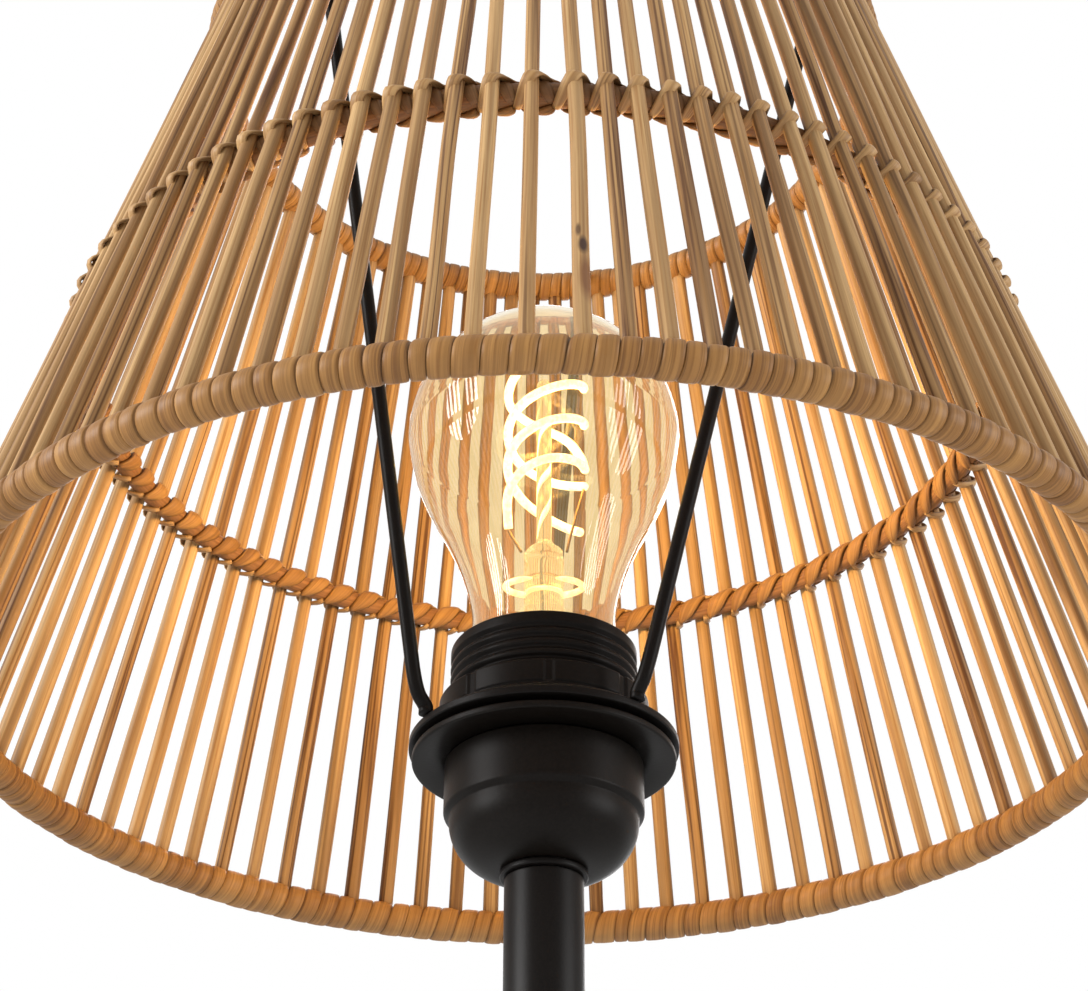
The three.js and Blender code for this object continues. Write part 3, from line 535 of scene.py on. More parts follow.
def smoothNoise(cells, amount):
    # smooth random values along each stick: random numbers at a few cells, joined by cosine steps
    marks = draw.uniform(-1, 1, (shade["stickCount"], cells + 1))
    t = np.linspace(0, cells, sticks["rings"])
    i = np.minimum(t.astype(int), cells - 1)
    w = (1 - np.cos((t - i) * math.pi)) / 2
    return amount * (marks[:, i] * (1 - w) + marks[:, i + 1] * w)


def makeSticks():
    # Each stick is a ring of radius r (1 + squash cos(2a + facing)) carried up a line from rim to rim,
    # that wanders by smooth noise sideways and outwards; every stick in one array.
    perStick = (shade["stickCount"], 1, 1)
    along = np.linspace(-sticks["overrun"], shade["topRimHeight"] + sticks["overrun"], sticks["rings"])
    turn = stickTurn(stickNumbers)[:, None]
    wander = smoothNoise(3, sticks["bow"])
    lean = smoothNoise(2, sticks["bow"] * sticks["leanShare"])
    ends = np.sin(np.linspace(0, math.pi, sticks["rings"])) ** 0.5
    atHoop = 1 - np.exp(-(((along - shade["midHoopHeight"]) / sticks["calmReach"]) ** 2))
    radial = coneRadius(along)[None] + lean * ends * atHoop
    path = outwards(turn + wander * ends / radial) * radial[..., None]
    path[..., 2] = along + shade["rimPlane"]
    uneven = 1 + sticks["thickSpread"] * draw.uniform(-1, 1, perStick[:2])
    thick = shade["stickRadius"] * thicknessAt(turn) * uneven
    swell = 1 + smoothNoise(5, sticks["swell"])
    squash = sticks["roundness"] * draw.uniform(-1, 1, perStick)
    facing = draw.uniform(0, fullTurn, perStick)
    flat = 1 + squash * np.cos(2 * roundAngles(sticks["sides"]) + facing)
    grid = tubeGrid(path, (thick * swell)[..., None] * flat, sticks["sides"], outwards(turn))
    around = np.arange(sticks["sides"] + 1) / sticks["sides"] * sticks["girth"] * mm
    around = around[None, None] + draw.uniform(0, grainReach, perStick)
    uv = laidOut(around, (along * mm)[None, :, None] + draw.uniform(0, grainReach, perStick))
    tone = np.clip(draw.normal(sticks["tone"], sticks["toneDeviation"], perStick), 0, 1)
    looks = {"tone": tone * sticks["toneStrength"], "dark": np.zeros((1, 1, 1))}
    return gridMesh(grid * mm, uv=uv, shade=looks)


wrap = {
    "beforeStick": 0.4,  # puts every second seam this many wraps before its stick
    "slitShare": 0.034,  # half width of a seam, in wraps
    "entryShare": 0.09,  # how much wider it gets where a stick enters
    "shoulderShare": 0.12,
    "slitDepth": 0.5,
    "entryDepth": 0.5,
    "edgeDrop": 0.22,
    "shoulderDrop": 0.06,
    "relief": 0.1,
    "unevenShare": 0.17,
    "lift": 0.2,
    "swayTurn": 0.75,  # radians
    "gap": (0.35, 1.6),  # narrowest and widest slit, as shares of the usual one
    "tone": 0.25,
    "toneDeviation": 0.3,
    "toneStrength": 0.85,
}
# height above the bottom rim's plane, and the seam's side of the section in degrees: 0 out, 90 up
rims = {
    "lower_rim_wrap": {
        "node": "bottom_rim", "radius": shade["bottomRimRadius"], "height": 0.0, "thickness": 4.0,
        "seam": -90, "sides": 22, "seed": 3, "sway": 0.075,
    },
    "upper_rim_wrap": {
        "node": "top_rim", "radius": shade["topRimRadius"], "height": shade["topRimHeight"], "thickness": 3.8,
        "seam": 90, "sides": 20, "seed": 4, "sway": 0.0,
    },
}


def wrappedRim(look):
    # A hoop wrapped in flat peel. Strip p runs once round the section while it moves on by one wrap: at
    # section turn w from the seam, its seam edge lies at stick number
    # k = (p - phase + w / 2 pi + sway cos(w + swayTurn)) / 2,
    # where the sway makes it steeper inside the hoop. Six rings a strip: the slit's bottom, the strip's edge
    # and shoulder, its crest, then shoulder and edge again. At every second seam the slit is wider and
    # deeper by up = ((1 - cos w) / 2)^2, on the sticks' side.
    generator = np.random.default_rng(look["seed"])
    wraps = 2 * shade["stickCount"]
    perWrap = 6
    radius, thickness, sides = pick(look, "radius thickness sides")
    p = np.arange(wraps)[:, None, None]
    w = np.arange(sides + 1) / sides * fullTurn
    turns = w / fullTurn
    up = (0.5 - 0.5 * np.cos(w)) ** 2
    course = turns + look["sway"] * np.cos(w + wrap["swayTurn"])
    phase = wrap["beforeStick"] + 0.5 + look["sway"] * math.cos(math.pi + wrap["swayTurn"])
    entry = 1 - p % 2

    def perStrip(values, number):
        # a strip's value passes to that of the strip it runs into as it comes round to the seam
        return values[number] * (1 - turns) + values[number + 1] * turns

    def drawn(low, high):
        values = generator.uniform(low, high, wraps)
        return np.append(values, values[:2])

    gap = drawn(*wrap["gap"])
    left = (wrap["slitShare"] + wrap["entryShare"] * entry * up) * perStrip(gap, p)
    right = (wrap["slitShare"] + wrap["entryShare"] * (1 - entry) * up) * perStrip(gap, p + 1)
    step = wrap["shoulderShare"]
    places = [0 * left, left, left + step, 0.5 + 0 * left, 1 - right - step, 1 - right, 1 + 0 * left]
    shares = np.concatenate(places, 1)
    edge, shoulder = wrap["edgeDrop"], wrap["shoulderDrop"]
    drops = [edge + wrap["slitDepth"] + wrap["entryDepth"] * entry * up]
    drops = np.concatenate(drops + [drop + 0 * left for drop in (edge, shoulder, 0, shoulder, edge)], 1)
    uneven = drawn(-1, 1) * wrap["unevenShare"]
    lift = perStrip(drawn(-1, 0.5) * wrap["lift"], p)
    tones = np.clip(generator.normal(wrap["tone"], wrap["toneDeviation"], wraps), 0, 1)
    tone = perStrip(np.append(tones, tones[:2]), p) * wrap["toneStrength"]
    moved = shares + (1 - shares) * perStrip(uneven, p) + shares * perStrip(uneven, p + 1)
    turn = stickTurn((p + moved - phase + course) / 2)[:, :perWrap]
    section = thickness * thicknessAt(turn) - wrap["relief"] + lift - drops
    v = math.radians(look["seam"]) + w
    place = (radius + section * np.cos(v))[..., None] * outwards(turn)
    place[..., 2] = shade["rimPlane"] + look["height"] + section * np.sin(v)
    laid = laidOut(shares * fullTurn * radius / wraps * mm, (fullTurn * p + w) * thickness * mm)
    corners = [laid[:, i : i + perWrap, j : j + sides] for i, j in ((0, 0), (1, 0), (1, 1), (0, 1))]
    # painted shade: the bottom of every slit takes the crease colour, fading over its edges, most where a
    # stick enters and the slit is wide and deep
    seamShade = np.array([1, 0.16, 0, 0, 0, 0.16])[None, :, None] * (0.7 + 0.3 * entry * up)
    looks = {"tone": np.broadcast_to(tone, drops.shape), "dark": seamShade}
    return gridMesh(
        place[:, :, :sides].reshape(wraps * perWrap, sides, 3) * mm,
        closedAlong=True,
        loopUv=np.stack(corners, -2).reshape(-1, 2),
        shade={key: values[:, :, :sides].reshape(wraps * perWrap, sides) for key, values in looks.items()},
        shift=perWrap,
    )


hoop = {"radius": 2.45, "solidRadius": 2.5, "sink": 0.6, "facets": 188, "sides": 14}
hoopMiddle = coneRadius(shade["midHoopHeight"]) - shade["stickRadius"] + hoop["sink"] - hoop["solidRadius"]
hoopHeight = shade["rimPlane"] + shade["midHoopHeight"]


def makeMidHoop():
    # plain round hoop: section (R + r cos v) outwards, r sin v up
    v = roundAngles(hoop["sides"])
    turn = stickTurn(np.arange(hoop["facets"]) / 2)[:, None] + 0 * v
    place = (hoopMiddle + hoop["radius"] * np.cos(v))[..., None] * outwards(turn)
    place[..., 2] = hoopHeight + hoop["radius"] * np.sin(v)
    around = np.linspace(0, fullTurn * hoop["radius"] * mm, hoop["sides"] + 1)
    along = np.linspace(0, fullTurn * hoopMiddle * mm, hoop["facets"] + 1)
    uv = laidOut(around[None], along[:, None])
    looks = dict.fromkeys(("tone", "dark"), np.zeros((1, 1, 1)))
    return gridMesh(place * mm, closedAlong=True, uv=uv, shade=looks)


# Three runs of peel at every stick, each from one place on the hoop to another: reach along the hoop in
# spacings from the stick, angle round its section in degrees (0 out, 90 up), half width and thickness.
lashings = {
    "outer_loops": {
        "reach": (-0.42, 0.62), "angles": (-100, 124), "early": 0.82, "halfWidth": 1.4, "thick": 0.42,
        "endShare": 0.6, "over": 1.14, "steps": 16, "tone": 0.1, "seed": 21, "material": caneLoop,
    },
    "inner_bands": {
        "reach": (-0.54, 0.54), "angles": (76, 266), "early": 1.0, "halfWidth": 2.2, "thick": 0.66,
        "endShare": 0.25, "over": 0.0, "steps": 12, "tone": 0.2, "seed": 22, "material": finishes["peel"],
    },
    "under_legs": {
        "reach": (0.12, 0.46), "angles": (70, -66), "early": 1.0, "halfWidth": 1.3, "thick": 0.2,
        "endShare": 0.7, "over": 0.0, "steps": 8, "tone": 0.55, "seed": 23, "material": shadedCaneLeg,
    },
}
band = {
    "section": (
        (-1, -0.9), (-0.93, 0.1), (-0.5, 0.75), (0, 1), (0.5, 0.75), (0.93, 0.1), (1, -0.9), (0, -1.1),
    ),
    "moveSpread": 0.05,  # in spacings
    "angleSpread": 4,  # degrees
    "widthSpread": 0.08,
    "toneDeviation": 0.2,
    "crossing": 0.27,  # half width of the rise over a stick, in spacings
    "clearance": 0.1,
    "run": 12,  # of grain along a band
    # painted shade along the band's lower edges, where it lies on the hoop
    "edgeShade": 0.5,
}


def makeBands(look):
    # Each band's middle line runs over the hoop's section: out = reach cos a + over stickStep e,
    # up = reach sin a, with e = exp(-(move / crossing)^2) sqrt(cos a), which lifts it over its stick.
    generator = np.random.default_rng(look["seed"])
    perStick = (shade["stickCount"], 1, 1)

    def spread(amount):
        return generator.uniform(-amount, amount, perStick[:2])

    t = np.linspace(0, 1, look["steps"] + 1)
    start, end = look["reach"]
    move = start + (end - start) * t + spread(band["moveSpread"])
    first, last = look["angles"]
    degrees = first + (last - first) * t ** look["early"]
    angle = np.radians(degrees + spread(band["angleSpread"]))
    turn = stickTurn(stickNumbers[:, None] + move)
    reach = hoop["radius"] + look["thick"]
    stickStep = 2 * shade["stickRadius"] * thicknessAt(turn) - hoop["sink"] + band["clearance"]
    e = np.exp(-((move / band["crossing"]) ** 2)) * np.clip(np.cos(angle), 0, 1) ** 0.5
    centre = (hoopMiddle + reach * np.cos(angle) + look["over"] * stickStep * e)[..., None] * outwards(turn)
    centre[..., 2] = hoopHeight + reach * np.sin(angle)
    face = outwards(turn) * np.cos(angle)[..., None]
    face[..., 2] = np.sin(angle)
    face, across = squareTo(centre, face)
    leaf = look["endShare"] + (1 - look["endShare"]) * np.sin(math.pi * t) ** 0.8
    wide = look["halfWidth"] * leaf * (1 + spread(band["widthSpread"]))
    section = np.array(band["section"])
    place = centre[:, :, None] + wide[..., None, None] * section[:, 0, None] * across[:, :, None]
    place = place + look["thick"] * section[:, 1, None] * face[:, :, None]
    around = np.linspace(0, 3 * look["halfWidth"], len(section) + 1) * mm
    around = around + generator.uniform(0, grainReach, perStick)
    along = t[None, :, None] * band["run"] * mm + generator.uniform(0, grainReach, perStick)
    tone = np.clip(generator.normal(look["tone"], band["toneDeviation"], perStick), 0, 1)
    # painted shade: the band's two lower edges, where it lies on the hoop, take half the crease colour
    dark = (np.abs(section[:, 0]) > 0.99) * band["edgeShade"]
    looks = {"tone": tone, "dark": dark[None, None]}
    return gridMesh(place * mm, uv=laidOut(around, along), shade=looks)


addPiece("cane_sticks", makeSticks(), "shade", "rattan", "stick_cage", material=caneStick)
for name, look in rims.items():
    addPiece(name, wrappedRim(look), "shade", "peel", look["node"])
addPiece("mid_hoop", makeMidHoop(), "shade", "rattan")
for name, look in lashings.items():
    replaced = ("mid_lashing",) if name == "outer_loops" else ()
    addPiece(name, makeBands(look), "shade", "peel", *replaced, material=look["material"])
print("shade made")

carrier = {
    "bottom": 1253.1,
    "top": 1254.8,
    "radius": 28.0,
    "bore": 20.35,
    "armRadius": 1.5,
    "footAngles": (-149, -48, 92),
    "topAngles": (-133, -30, 81.3),
    "kneeRadius": 30.3,
    "kneeRise": 5.0,
    "kneeBend": 6,  # how far past the knee its bend ends
    "footRadius": 27.8,
    "footLift": 0.25,
    "footRise": 2.0,
    "tipInset": 1.8,  # inside the top rim's edge, which lies at tipShare of its thickness
    "tipShare": 0.951,
    "tipRise": 1.1,
}


def polarPoint(degrees, radius, height):
    angle = math.radians(degrees)
    return np.array((radius * math.cos(angle), radius * math.sin(angle), height))


def makeArm(number):
    # from the foot up, over to the knee and straight to the rim, as a tube with a bend at both corners
    foot, top = carrier["footAngles"][number], carrier["topAngles"][number]
    face = carrier["top"]
    rimHere = rims["upper_rim_wrap"]["thickness"] * thicknessAt(math.radians(top + 90))
    tipRadius = shade["topRimRadius"] - rimHere * carrier["tipShare"] - carrier["tipInset"]
    tip = polarPoint(top, tipRadius, shade["rimPlane"] + shade["topRimHeight"] + carrier["tipRise"])
    knee = polarPoint(foot, carrier["kneeRadius"], face + carrier["kneeRise"])
    start = polarPoint(foot, carrier["footRadius"], face + carrier["footLift"])
    upright = polarPoint(foot, carrier["footRadius"], face + carrier["footRise"])
    t = np.linspace(0, 1, 12)[:, None]
    rise, lean = upright - start, knee - upright
    low = start + rise * np.linspace(0, 0.7, 4)[:, None]
    lowBend = bend(t, start + rise * 0.72, upright, upright + lean * 0.5)
    bendEnd = knee + unit(tip - knee) * carrier["kneeBend"]
    kneeBend = bend(t, upright + lean * 0.52, knee, bendEnd)
    straight = bendEnd + (tip - bendEnd) * np.linspace(0, 1, 40)[1:, None]
    path = np.concatenate([low, lowBend, kneeBend, straight]) * mm
    return gridMesh(tubeGrid(path, carrier["armRadius"] * mm, 20, firstSide=(1, 0, 0)))


bottom, top, radius, bore = pick(carrier, "bottom top radius bore")
discProfile = [(bore, bottom), (radius, bottom), (radius, top), (bore, top)]
addTurned("carrier_disc", discProfile, 128, 0.35, "shade", "black_metal", "carrier_ring")
for number in range(3):
    name = "arm_wire_%d" % (number + 1)
    addPiece(name, makeArm(number), "shade", "black_metal", "carrier_arm_%d" % (number + 1))
print("carrier made")

holder = {
    "facets": 128,
    "cupBottom": 1227.0,
    "cupShoulder": 1239.2,
    "cupTop": 1250.0,
    "cupRadius": 20.5,
    "cupFoot": 8.6,
    "cupBore": 5.3,
    "cupWall": 1.4,
    "bead": 1.15,
    "beadDrop": 1.6,  # the dome ends this far under the shoulder
    "flangeBottom": 1250.3,
    "flangeRadius": 27.3,
    "flangeThickness": 1.6,
    "seatWidth": 3,
    "seatTop": 2.5,
    "skirtTop": 1276.3,
    "skirtRadius": 19.75,
    "skirtBore": 17.85,
    "threadBottom": 1264.5,
    "threadTop": 1274.1,
    "threadPitch": 2.4,
    "threadDepth": 0.75,
    "threadSamples": 60,
}


def makeCup():
    # dome: quarter ellipse from the foot out to the bead, then the straight side; inside the same
    radius, shoulder, top, foot, wall = pick(holder, "cupRadius cupShoulder cupTop cupFoot cupWall")
    angle = np.linspace(math.pi / 2, 0, 22)
    low = radius - holder["bead"]
    domeTop = shoulder - holder["beadDrop"]
    rise = domeTop - holder["cupBottom"]
    outer, inner = (arc(foot, domeTop, low - foot - inset, inset - rise, angle) for inset in (0, wall))
    corners = [(low, shoulder - 1.0), (radius, shoulder - 0.1), (radius, top), (radius - wall, top)]
    corners += [(radius - wall, shoulder), (radius - 2.2, shoulder - 2)]
    side = softened([tuple(outer[-1])] + corners, (0, 0.5, 0.45, 0.4, 0.3, 0.5, 0), closedLoop=False)
    bore = [(holder["cupBore"], holder["cupBottom"] + rise) for rise in (wall, 0)]
    profile = np.concatenate([outer[:-1], side[:-1], inner[::-1][1:], bore]) * mm
    return gridMesh(turnedGrid(profile, holder["facets"]), closedAlong=True)


def makeSkirt():
    # flange and seat, then the threaded wall: radius dips by depth ((1 - cos) / 2)^1.6 once a pitch
    flat, radius, bore, top = pick(holder, "flangeBottom skirtRadius skirtBore skirtTop")
    z = np.linspace(holder["threadBottom"], holder["threadTop"], holder["threadSamples"])
    dip = (0.5 - 0.5 * np.cos((z - holder["threadBottom"]) / holder["threadPitch"] * fullTurn)) ** 1.6
    thread = np.stack([radius - holder["threadDepth"] * dip, z], 1)
    seat, seatTop = radius + holder["seatWidth"], flat + holder["seatTop"]
    rim, rimTop = holder["flangeRadius"], flat + holder["flangeThickness"]
    corners = [(bore, flat), (rim, flat), (rim, rimTop), (seat, rimTop), (seat, seatTop), (radius, seatTop)]
    lower = softened(corners + [(radius, flat + 6)], (0, 0.5, 0.5, 0.2, 0.2, 0.1, 0), closedLoop=False)
    lip = [tuple(thread[-1]), (radius, top - 0.4), (radius - 0.5, top), (bore, top), (bore, flat + 4)]
    upper = softened(lip, (0, 0.3, 0.3, 0.4, 0), closedLoop=False)
    profile = np.concatenate([lower, thread[:-1], upper]) * mm
    return gridMesh(turnedGrid(profile, holder["facets"]), closedAlong=True)


gripRing = {
    "bottom": 1255.1,
    "flareTop": 1258.7,
    "top": 1263.9,
    "flareRadius": 26.0,
    "flareEdge": 0.9,
    "neckRadius": 21.6,
    "gripRadius": 21.95,
    "panels": 8,
    "facetsPerPanel": 48,
    "notchMiddle": 0.06,  # notch sizes as shares of a panel
    "notchHalf": 0.045,
    "notchSlope": 0.02,
    "notchDepth": 0.5,
}


def makeGripRing():
    # A turned profile whose grip's radius also dips in a narrow notch between its panels:
    # radius = r - depth x (share of the height that is grip) x step(panel phase).
    low, flareTop, top = pick(gripRing, "bottom flareTop top")
    flare, neck, grip = pick(gripRing, "flareRadius neckRadius gripRadius")
    bore = holder["skirtRadius"] + 0.3
    corners = [(bore, low), (flare, low), (flare, low + gripRing["flareEdge"]), (neck, flareTop - 0.1)]
    corners += [(grip, flareTop + 0.5), (grip, top - 0.1), (bore, top)]
    profile = softened(corners, (0.1, 0.3, 0.3, 0.5, 0.2, 0.4, 0.15))
    facets = gripRing["panels"] * gripRing["facetsPerPanel"]
    grid = turnedGrid(profile, facets)
    phase = np.arange(facets) / gripRing["facetsPerPanel"] % 1
    fromNotch = np.abs(phase - gripRing["notchMiddle"]) - gripRing["notchHalf"]
    dent = 1 - np.clip(fromNotch / gripRing["notchSlope"], 0, 1)
    onGrip = (np.clip((profile[:, 1] - flareTop) / 0.5, 0, 1) * (profile[:, 0] > bore + 0.8))[:, None]
    shrink = 1 - gripRing["notchDepth"] * onGrip * dent / np.maximum(profile[:, :1], 1)
    grid[..., :2] *= shrink[..., None]
    return gridMesh(grid * mm, closedAlong=True)


addPiece("cup_shell", makeCup(), "stand", "black_plastic", "socket_cup")
addPiece("skirt_shell", makeSkirt(), "stand", "black_plastic", "holder_skirt")
addPiece("grip_ring", makeGripRing(), "ring", "black_plastic", "retaining_ring")
neckProfile = [(5.25, 1225.45), (8.9, 1225.45), (8.9, 1226.75), (5.25, 1226.75)]
addTurned("neck_ring", neckProfile, 96, 0.4, "stand", "black_metal", "neck_collar")
print("lampholder made")

pole = {"radius": 8.0, "bore": 6.8, "foot": 25.2, "section": 400.0, "gap": 0.3}
for number, name in enumerate(("lower", "middle", "upper")):
    low = pole["foot"] + number * pole["section"]
    high = low + pole["section"] - (0 if name == "upper" else pole["gap"])
    profile = [(pole["bore"], low), (pole["radius"], low), (pole["radius"], high), (pole["bore"], high)]
    addTurned("tube_" + name, profile, 64, 0.25, "stand", "black_metal", "pole_" + name)

footOutside = [(5.2, 22.9), (17, 22.9), (17, 24.9), (12, 29.9), (12, 31.9)]
footProfile = footOutside + [(8.3, 31.9), (8.3, 24.9), (5.2, 24.9)]
addTurned("foot_collar_turned", footProfile, 96, 0.6, "stand", "black_metal", "foot_collar")

base = {"flatRadius": 107, "sideTop": 13, "shoulder": (17, 9.6), "wall": 1.5, "bore": 5.2, "facets": 160}


def makeBaseCover():
    # pressed disc: rim up the side, then a quarter ellipse over the shoulder to the flat top
    out, up = base["shoulder"]
    edge, top = base["flatRadius"] + out, base["sideTop"] + up
    inside, under = edge - base["wall"], top - base["wall"]
    angle = np.linspace(0, math.pi / 2, 20)
    starts = pick(base, "flatRadius sideTop")
    outer, inner = (arc(*starts, out - inset, up - inset, angle) for inset in (0, base["wall"]))
    lip = [(inside, 1.9), (inside + 0.3, 1.55), (edge - 0.3, 1.55), (edge, 1.9), (edge, 7)]
    flat = [(60, top), (base["bore"], top), (base["bore"], under), (60, under)]
    parts = [lip, outer, flat, inner[::-1], [(inside, 7)]]
    return gridMesh(turnedGrid(np.concatenate(parts) * mm, base["facets"]), closedAlong=True)


addPiece("base_pressing", makeBaseCover(), "stand", "black_metal", "base_cover")
addTurned("base_felt", [(17, 0), (116, 0), (116, 2.5), (17, 2.5)], 128, 0.4, "stand", "felt", "base_pad")

grommet = {
    "bore": 2.3, "sleeve": 3.6, "flange": 5, "sleeveLength": 8, "length": 9.2, "start": 116.3, "height": 7.5,
}


def makeGrommet():
    # turned round Z, then laid along Y at the inlet's height
    bore, sleeve, flange, inner, length = pick(grommet, "bore sleeve flange sleeveLength length")
    corners = [(bore, 0), (sleeve, 0), (sleeve, inner), (flange, inner), (flange, length), (bore, length)]
    grid = turnedGrid(softened(corners, (0.2, 0.3, 0.2, 0.3, 0.5, 0.3)), 48)
    laid = np.stack([grid[..., 0], grommet["start"] + grid[..., 2], grommet["height"] - grid[..., 1]], -1)
    return gridMesh(laid * mm, closedAlong=True)


addPiece("cord_grommet", makeGrommet(), "stand", "rubber", "cord_inlet")
print("pole and base made")

bulb = {
    "facets": 96,
    "radius": 30.7,
    "neck": 15.2,
    "neckLow": 1277.0,
    "centre": 1331.3,
    "wall": 0.8,
    # shares of the rise and of the swell from the neck to the widest place
    "swell": ((0, 0), (0.18, 0.03), (0.34, 0.16), (0.5, 0.38), (0.66, 0.66), (0.82, 0.88), (1.0, 1.0)),
    "stemFoot": 1277.3,
    "stemFlare": 13.9,
    "tubeRadius": 4.3,
    "tubeLow": 1286,
    "pinch": 1301.7,
    "rodRadius": 1.7,
    "rodTop": 1346.7,
    "leadRadius": 0.32,
    "leads": (
        ((-5.0, 0, 1301.7), (-6.6, 0.9, 1305.2), (-7.9, 2.2, 1308.6)),
        ((5.0, 0, 1301.7), (5.9, 0.7, 1306.4), (8.9, 1.7, 1319.0)),
    ),
}


def pearProfile(inset):
    # half width between neck and centre by a smooth curve through the shares of rise and swell, then a
    # quarter circle; the last point only steers the curve, so its span is left out
    rise, swell = np.array(bulb["swell"]).T
    width = bulb["neck"] + (bulb["radius"] - bulb["neck"]) * swell - inset
    height = bulb["neckLow"] + (bulb["centre"] - bulb["neckLow"]) * rise
    ball = bulb["radius"] - inset
    points = np.concatenate([np.stack([width, height], 1), [(ball, bulb["centre"] + 3)]])
    steps = 8
    low = throughPoints(points, steps)[: -steps - 1]
    angle = np.linspace(0, math.pi / 2, 26)[:-1]
    dome = arc(0, bulb["centre"], ball, ball, angle)
    return np.concatenate([low, dome, [(0.25, bulb["centre"] + ball)]])


def makeGlass():
    outer, inner = pearProfile(0), pearProfile(bulb["wall"])
    profile = np.concatenate([inner[::-1], outer]) * mm
    return gridMesh(turnedGrid(profile, bulb["facets"]))


def makeStem():
    # Flare, tube, pinch and rod as one turned profile. The tube is pressed flat towards the pinch and
    # crumpled by a small product of sines; steps up of more than 6 mm are cut in eight for that.
    low, flare, tube, pinch = pick(bulb, "stemFoot stemFlare tubeRadius pinch")
    rod, top, facets = bulb["rodRadius"], bulb["rodTop"], 40
    flarePart = [(0.2, low), (flare, low), (flare, low + 0.8), (5.6, 1283)]
    tubePart = [(tube, bulb["tubeLow"]), (tube, pinch)]
    rodPart = [(rod, pinch + 2), (rod, top - 0.3), (rod * 0.75, top + 0.9), (0.2, top + 1.1)]
    softness = (0, 0.3, 1.0, 3, 3, 1.2, 1.2, 0.6, 0.5, 0)
    profile = softened(flarePart + tubePart + rodPart, softness, closedLoop=False, steps=6)
    spans = [np.linspace(a, b, 9)[:-1] if b[1] - a[1] > 6 else a[None] for a, b in zip(profile, profile[1:])]
    grid = turnedGrid(np.concatenate(spans + [profile[-1:]]), facets)
    z = grid[..., 2]
    pressed = np.clip((z - bulb["tubeLow"] - 1) / 8, 0, 1) * np.clip((pinch + 2 - z) / 3, 0, 1)
    grid[..., 1] *= 1 - 0.45 * pressed
    crumple = 1 + 0.06 * pressed * np.sin(z * 2.1) * np.cos(roundAngles(facets) * 3)
    grid[..., :2] *= crumple[..., None]
    return gridMesh(grid * mm)


filament = {
    "sides": 12,
    "radius": 1.02,
    "spiralRadius": 8.7,
    "spiralOffset": 0.5,
    # each strand by its degrees round from +X, which fall as it winds down, and its heights
    "strands": (
        (
            (-96, 1349.4), (-131, 1346.6), (-180, 1343.3), (-225, 1342.3), (-270, 1340.0), (-304, 1336.0),
            (-338, 1328.5), (-360, 1323.4), (-405, 1321.9), (-450, 1320.6), (-495, 1318.0), (-540, 1313.8),
            (-556, 1309.2),
        ),
        (
            (2, 1345.9), (-45, 1342.6), (-90, 1339.3), (-135, 1336.2), (-180, 1332.7), (-225, 1329.2),
            (-270, 1325.9), (-315, 1322.8), (-348, 1320.0),
        ),
        (
            (2, 1335.7), (-45, 1333.2), (-90, 1330.6), (-135, 1327.6), (-180, 1324.1), (-225, 1320.2),
            (-270, 1315.9), (-305, 1312.0), (-330, 1309.4),
        ),
    ),
    # the loop that rests on the back of the stem and is open at the front
    "lowTurn": {"height": 1292.4, "reach": (8.3, 4.1), "middle": -0.6, "half": 162, "radius": 0.7},
}


def makeStrands():
    # strands on a cylinder, x = offset + R cos a, y = R sin a, with a and z run smoothly through their table
    grids = []
    radius, offset = filament["spiralRadius"], filament["spiralOffset"]
    for strand in filament["strands"]:
        degrees, heights = throughPoints(strand, 8).T
        spot = np.linspace(0, len(degrees) - 1, 101)
        a, z = (np.interp(spot, np.arange(len(degrees)), values) for values in (np.radians(degrees), heights))
        path = np.stack([offset + radius * np.cos(a), radius * np.sin(a), z], 1) * mm
        grids.append(tubeGrid(path, filament["radius"] * mm, filament["sides"], firstSide=(0.1, 0.15, 1)))
    return gridMesh(np.concatenate(grids))


def makeLowTurn():
    # a flat loop, x = reach cos a, y = middle + reach sin a, that runs round behind the stem
    turn, t = filament["lowTurn"], np.linspace(-1, 1, 65)
    a = math.pi / 2 + np.radians(turn["half"]) * t
    wide, deep = turn["reach"]
    path = np.stack([wide * np.cos(a), turn["middle"] + deep * np.sin(a), turn["height"] + 0 * a], -1)
    thick = (turn["radius"] * (1 - 0.7 * t**16))[:, None] * mm
    return gridMesh(tubeGrid(path * mm, thick, filament["sides"]))


glass = addPiece("glass_envelope", makeGlass(), "bulb", "bulb_glass", "bulb_glass")
stem = addPiece("stem_glass", makeStem(), "bulb", "stem_glass", "bulb_stem")
addPiece("filament_strands", makeStrands(), "bulb", "filament", "bulb_filament")
addPiece("filament_low_turn", makeLowTurn(), "bulb", "filament", material=dimCoating)
for number, points in enumerate(bulb["leads"], 1):
    name = "lead_wire_%d" % number
    path = throughPoints(points, 6) * mm
    lead = gridMesh(tubeGrid(path, bulb["leadRadius"] * mm, 10, firstSide=(0, 1, 0)))
    addPiece(name, lead, "bulb", "nickel", "filament_lead_%d" % number, material=finishes["lead"])
capProfile = [(12.7, 1255.7), (13.1, 1255.7), (13.1, 1275.5), (15.2, 1276.3), (15.2, 1276.7), (12.7, 1275.9)]
addTurned("cap_sleeve", capProfile, 96, 0.15, "bulb", "nickel", "bulb_cap")
for piece in (glass, stem):
    piece.visible_shadow = False  # lets the filament's light out
print("bulb made")

studio = {
    "floorColour": (0.86, 0.86, 0.86),
    "floorReach": 6,  # metres each way
    "floorDrop": 0.0005,
    "worldLight": 0.53,
    "bulbWatts": 1.08,
    "bulbColour": (1.0, 0.66, 0.25),
    "bulbPlace": (0.001, 0, 1.331),
    "bulbGlowRadius": 0.011,
    "lampTarget": (0, 0, 1.2),
    "lamps": (
        # name, place, size, watts
        ("key_left", (-2.5, -0.95, 2.0), 1.6, 104),
        ("fill_right", (2.4, -0.8, 1.6), 1.6, 46),
        ("back", (0.4, 2.2, 2.4), 1.8, 34),
    ),
}

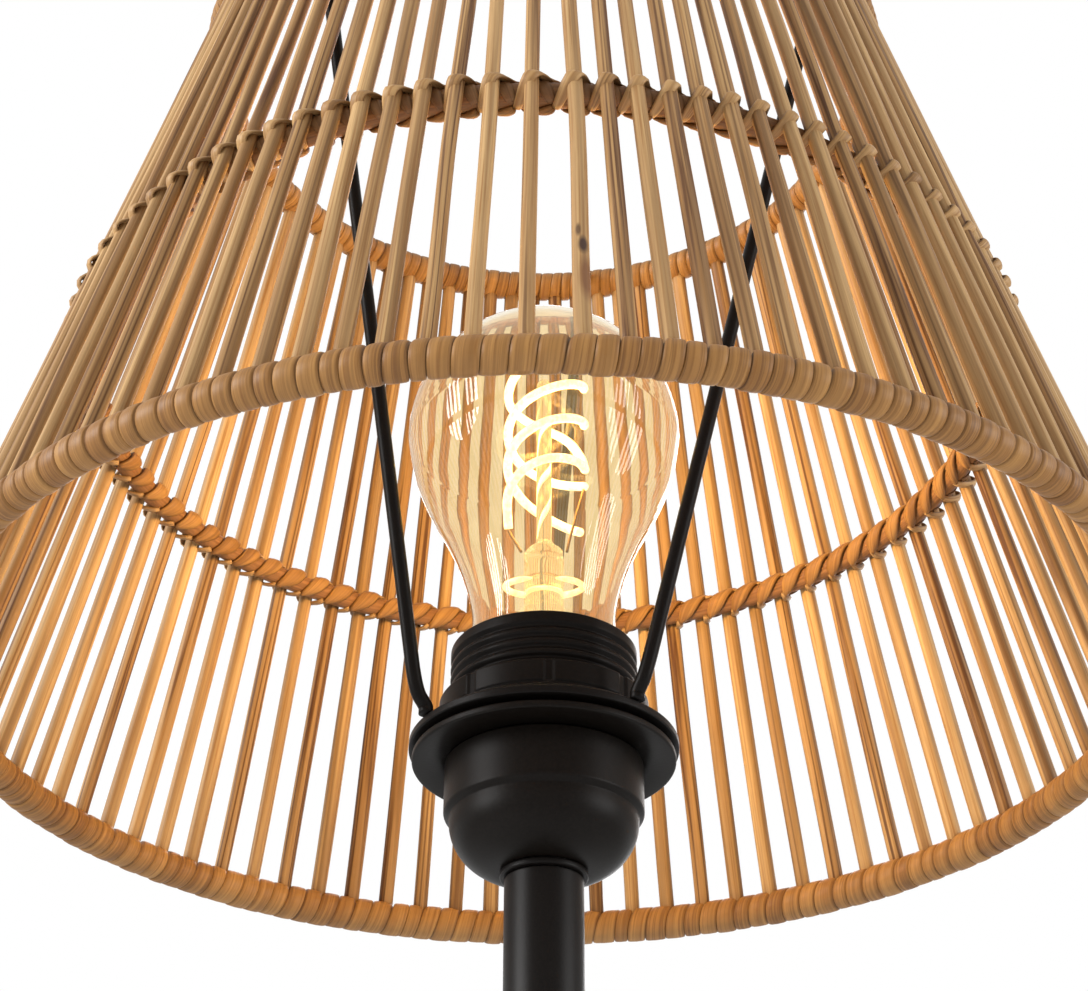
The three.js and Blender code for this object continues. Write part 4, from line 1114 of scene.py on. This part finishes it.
world = bpy.data.worlds.new("studio")
scene.world = world
world.use_nodes = True
tree = world.node_tree
background = tree.nodes["Background"]
background.inputs["Color"].default_value = (1, 1, 1, 1)
# white for the camera and for what is mirrored or seen through glass, plain light for the rest
rays = node(tree, "LightPath").outputs
seen = node(tree, "Math", rays["Is Camera Ray"], rays["Is Glossy Ray"], operation="MAXIMUM")
seen = node(tree, "Math", seen.outputs[0], rays["Is Transmission Ray"], operation="MAXIMUM")
strength = node(tree, "MapRange", seen.outputs[0], To_Min=studio["worldLight"], To_Max=1.0)
feed(tree, background.inputs["Strength"], strength.outputs[0])

floorMesh = bpy.data.meshes.new("floor")
reach = studio["floorReach"]
floorSquare = ((-1, -1), (1, -1), (1, 1), (-1, 1))
floorCorners = [(x * reach, y * reach, -studio["floorDrop"]) for x, y in floorSquare]
floorMesh.from_pydata(floorCorners, [], [(0, 1, 2, 3)])
floor = addObject("floor", floorMesh)
floorMaterial, tree, shader = newMaterial("pale_floor", Roughness=0.7, Base_Color=(*studio["floorColour"], 1))
floorMesh.materials.append(floorMaterial)

for name, place, size, watts in studio["lamps"]:
    light = bpy.data.lights.new(name, "AREA")
    light.shape, light.size, light.energy = "DISK", size, watts
    lamp = addObject(name, light)
    lamp.location = place
    lamp.rotation_euler = (Vector(studio["lampTarget"]) - Vector(place)).to_track_quat("-Z", "Y").to_euler()
    lamp.visible_camera = lamp.visible_transmission = False

glow = bpy.data.lights.new("filament_glow", "POINT")
glow.energy, glow.color = studio["bulbWatts"], studio["bulbColour"]
glow.shadow_soft_size = studio["bulbGlowRadius"]
glowLamp = addObject("filament_glow", glow)
glowLamp.location = studio["bulbPlace"]
glowLamp.visible_camera = glowLamp.visible_glossy = glowLamp.visible_transmission = False

view = {"place": (0, -0.3949, 1.0637), "pitch": 32.63, "lens": 69.56, "sensor": 36, "nearest": 0.01}
camera = bpy.data.cameras.new("camera")
camera.lens, camera.sensor_width = view["lens"], view["sensor"]
camera.clip_start = view["nearest"]
cameraObject = addObject("camera", camera)
cameraObject.location = view["place"]
cameraObject.rotation_euler = (math.radians(90 + view["pitch"]), 0, 0)
scene.camera = cameraObject
scene.view_settings.view_transform = "Standard"
print("stage made")
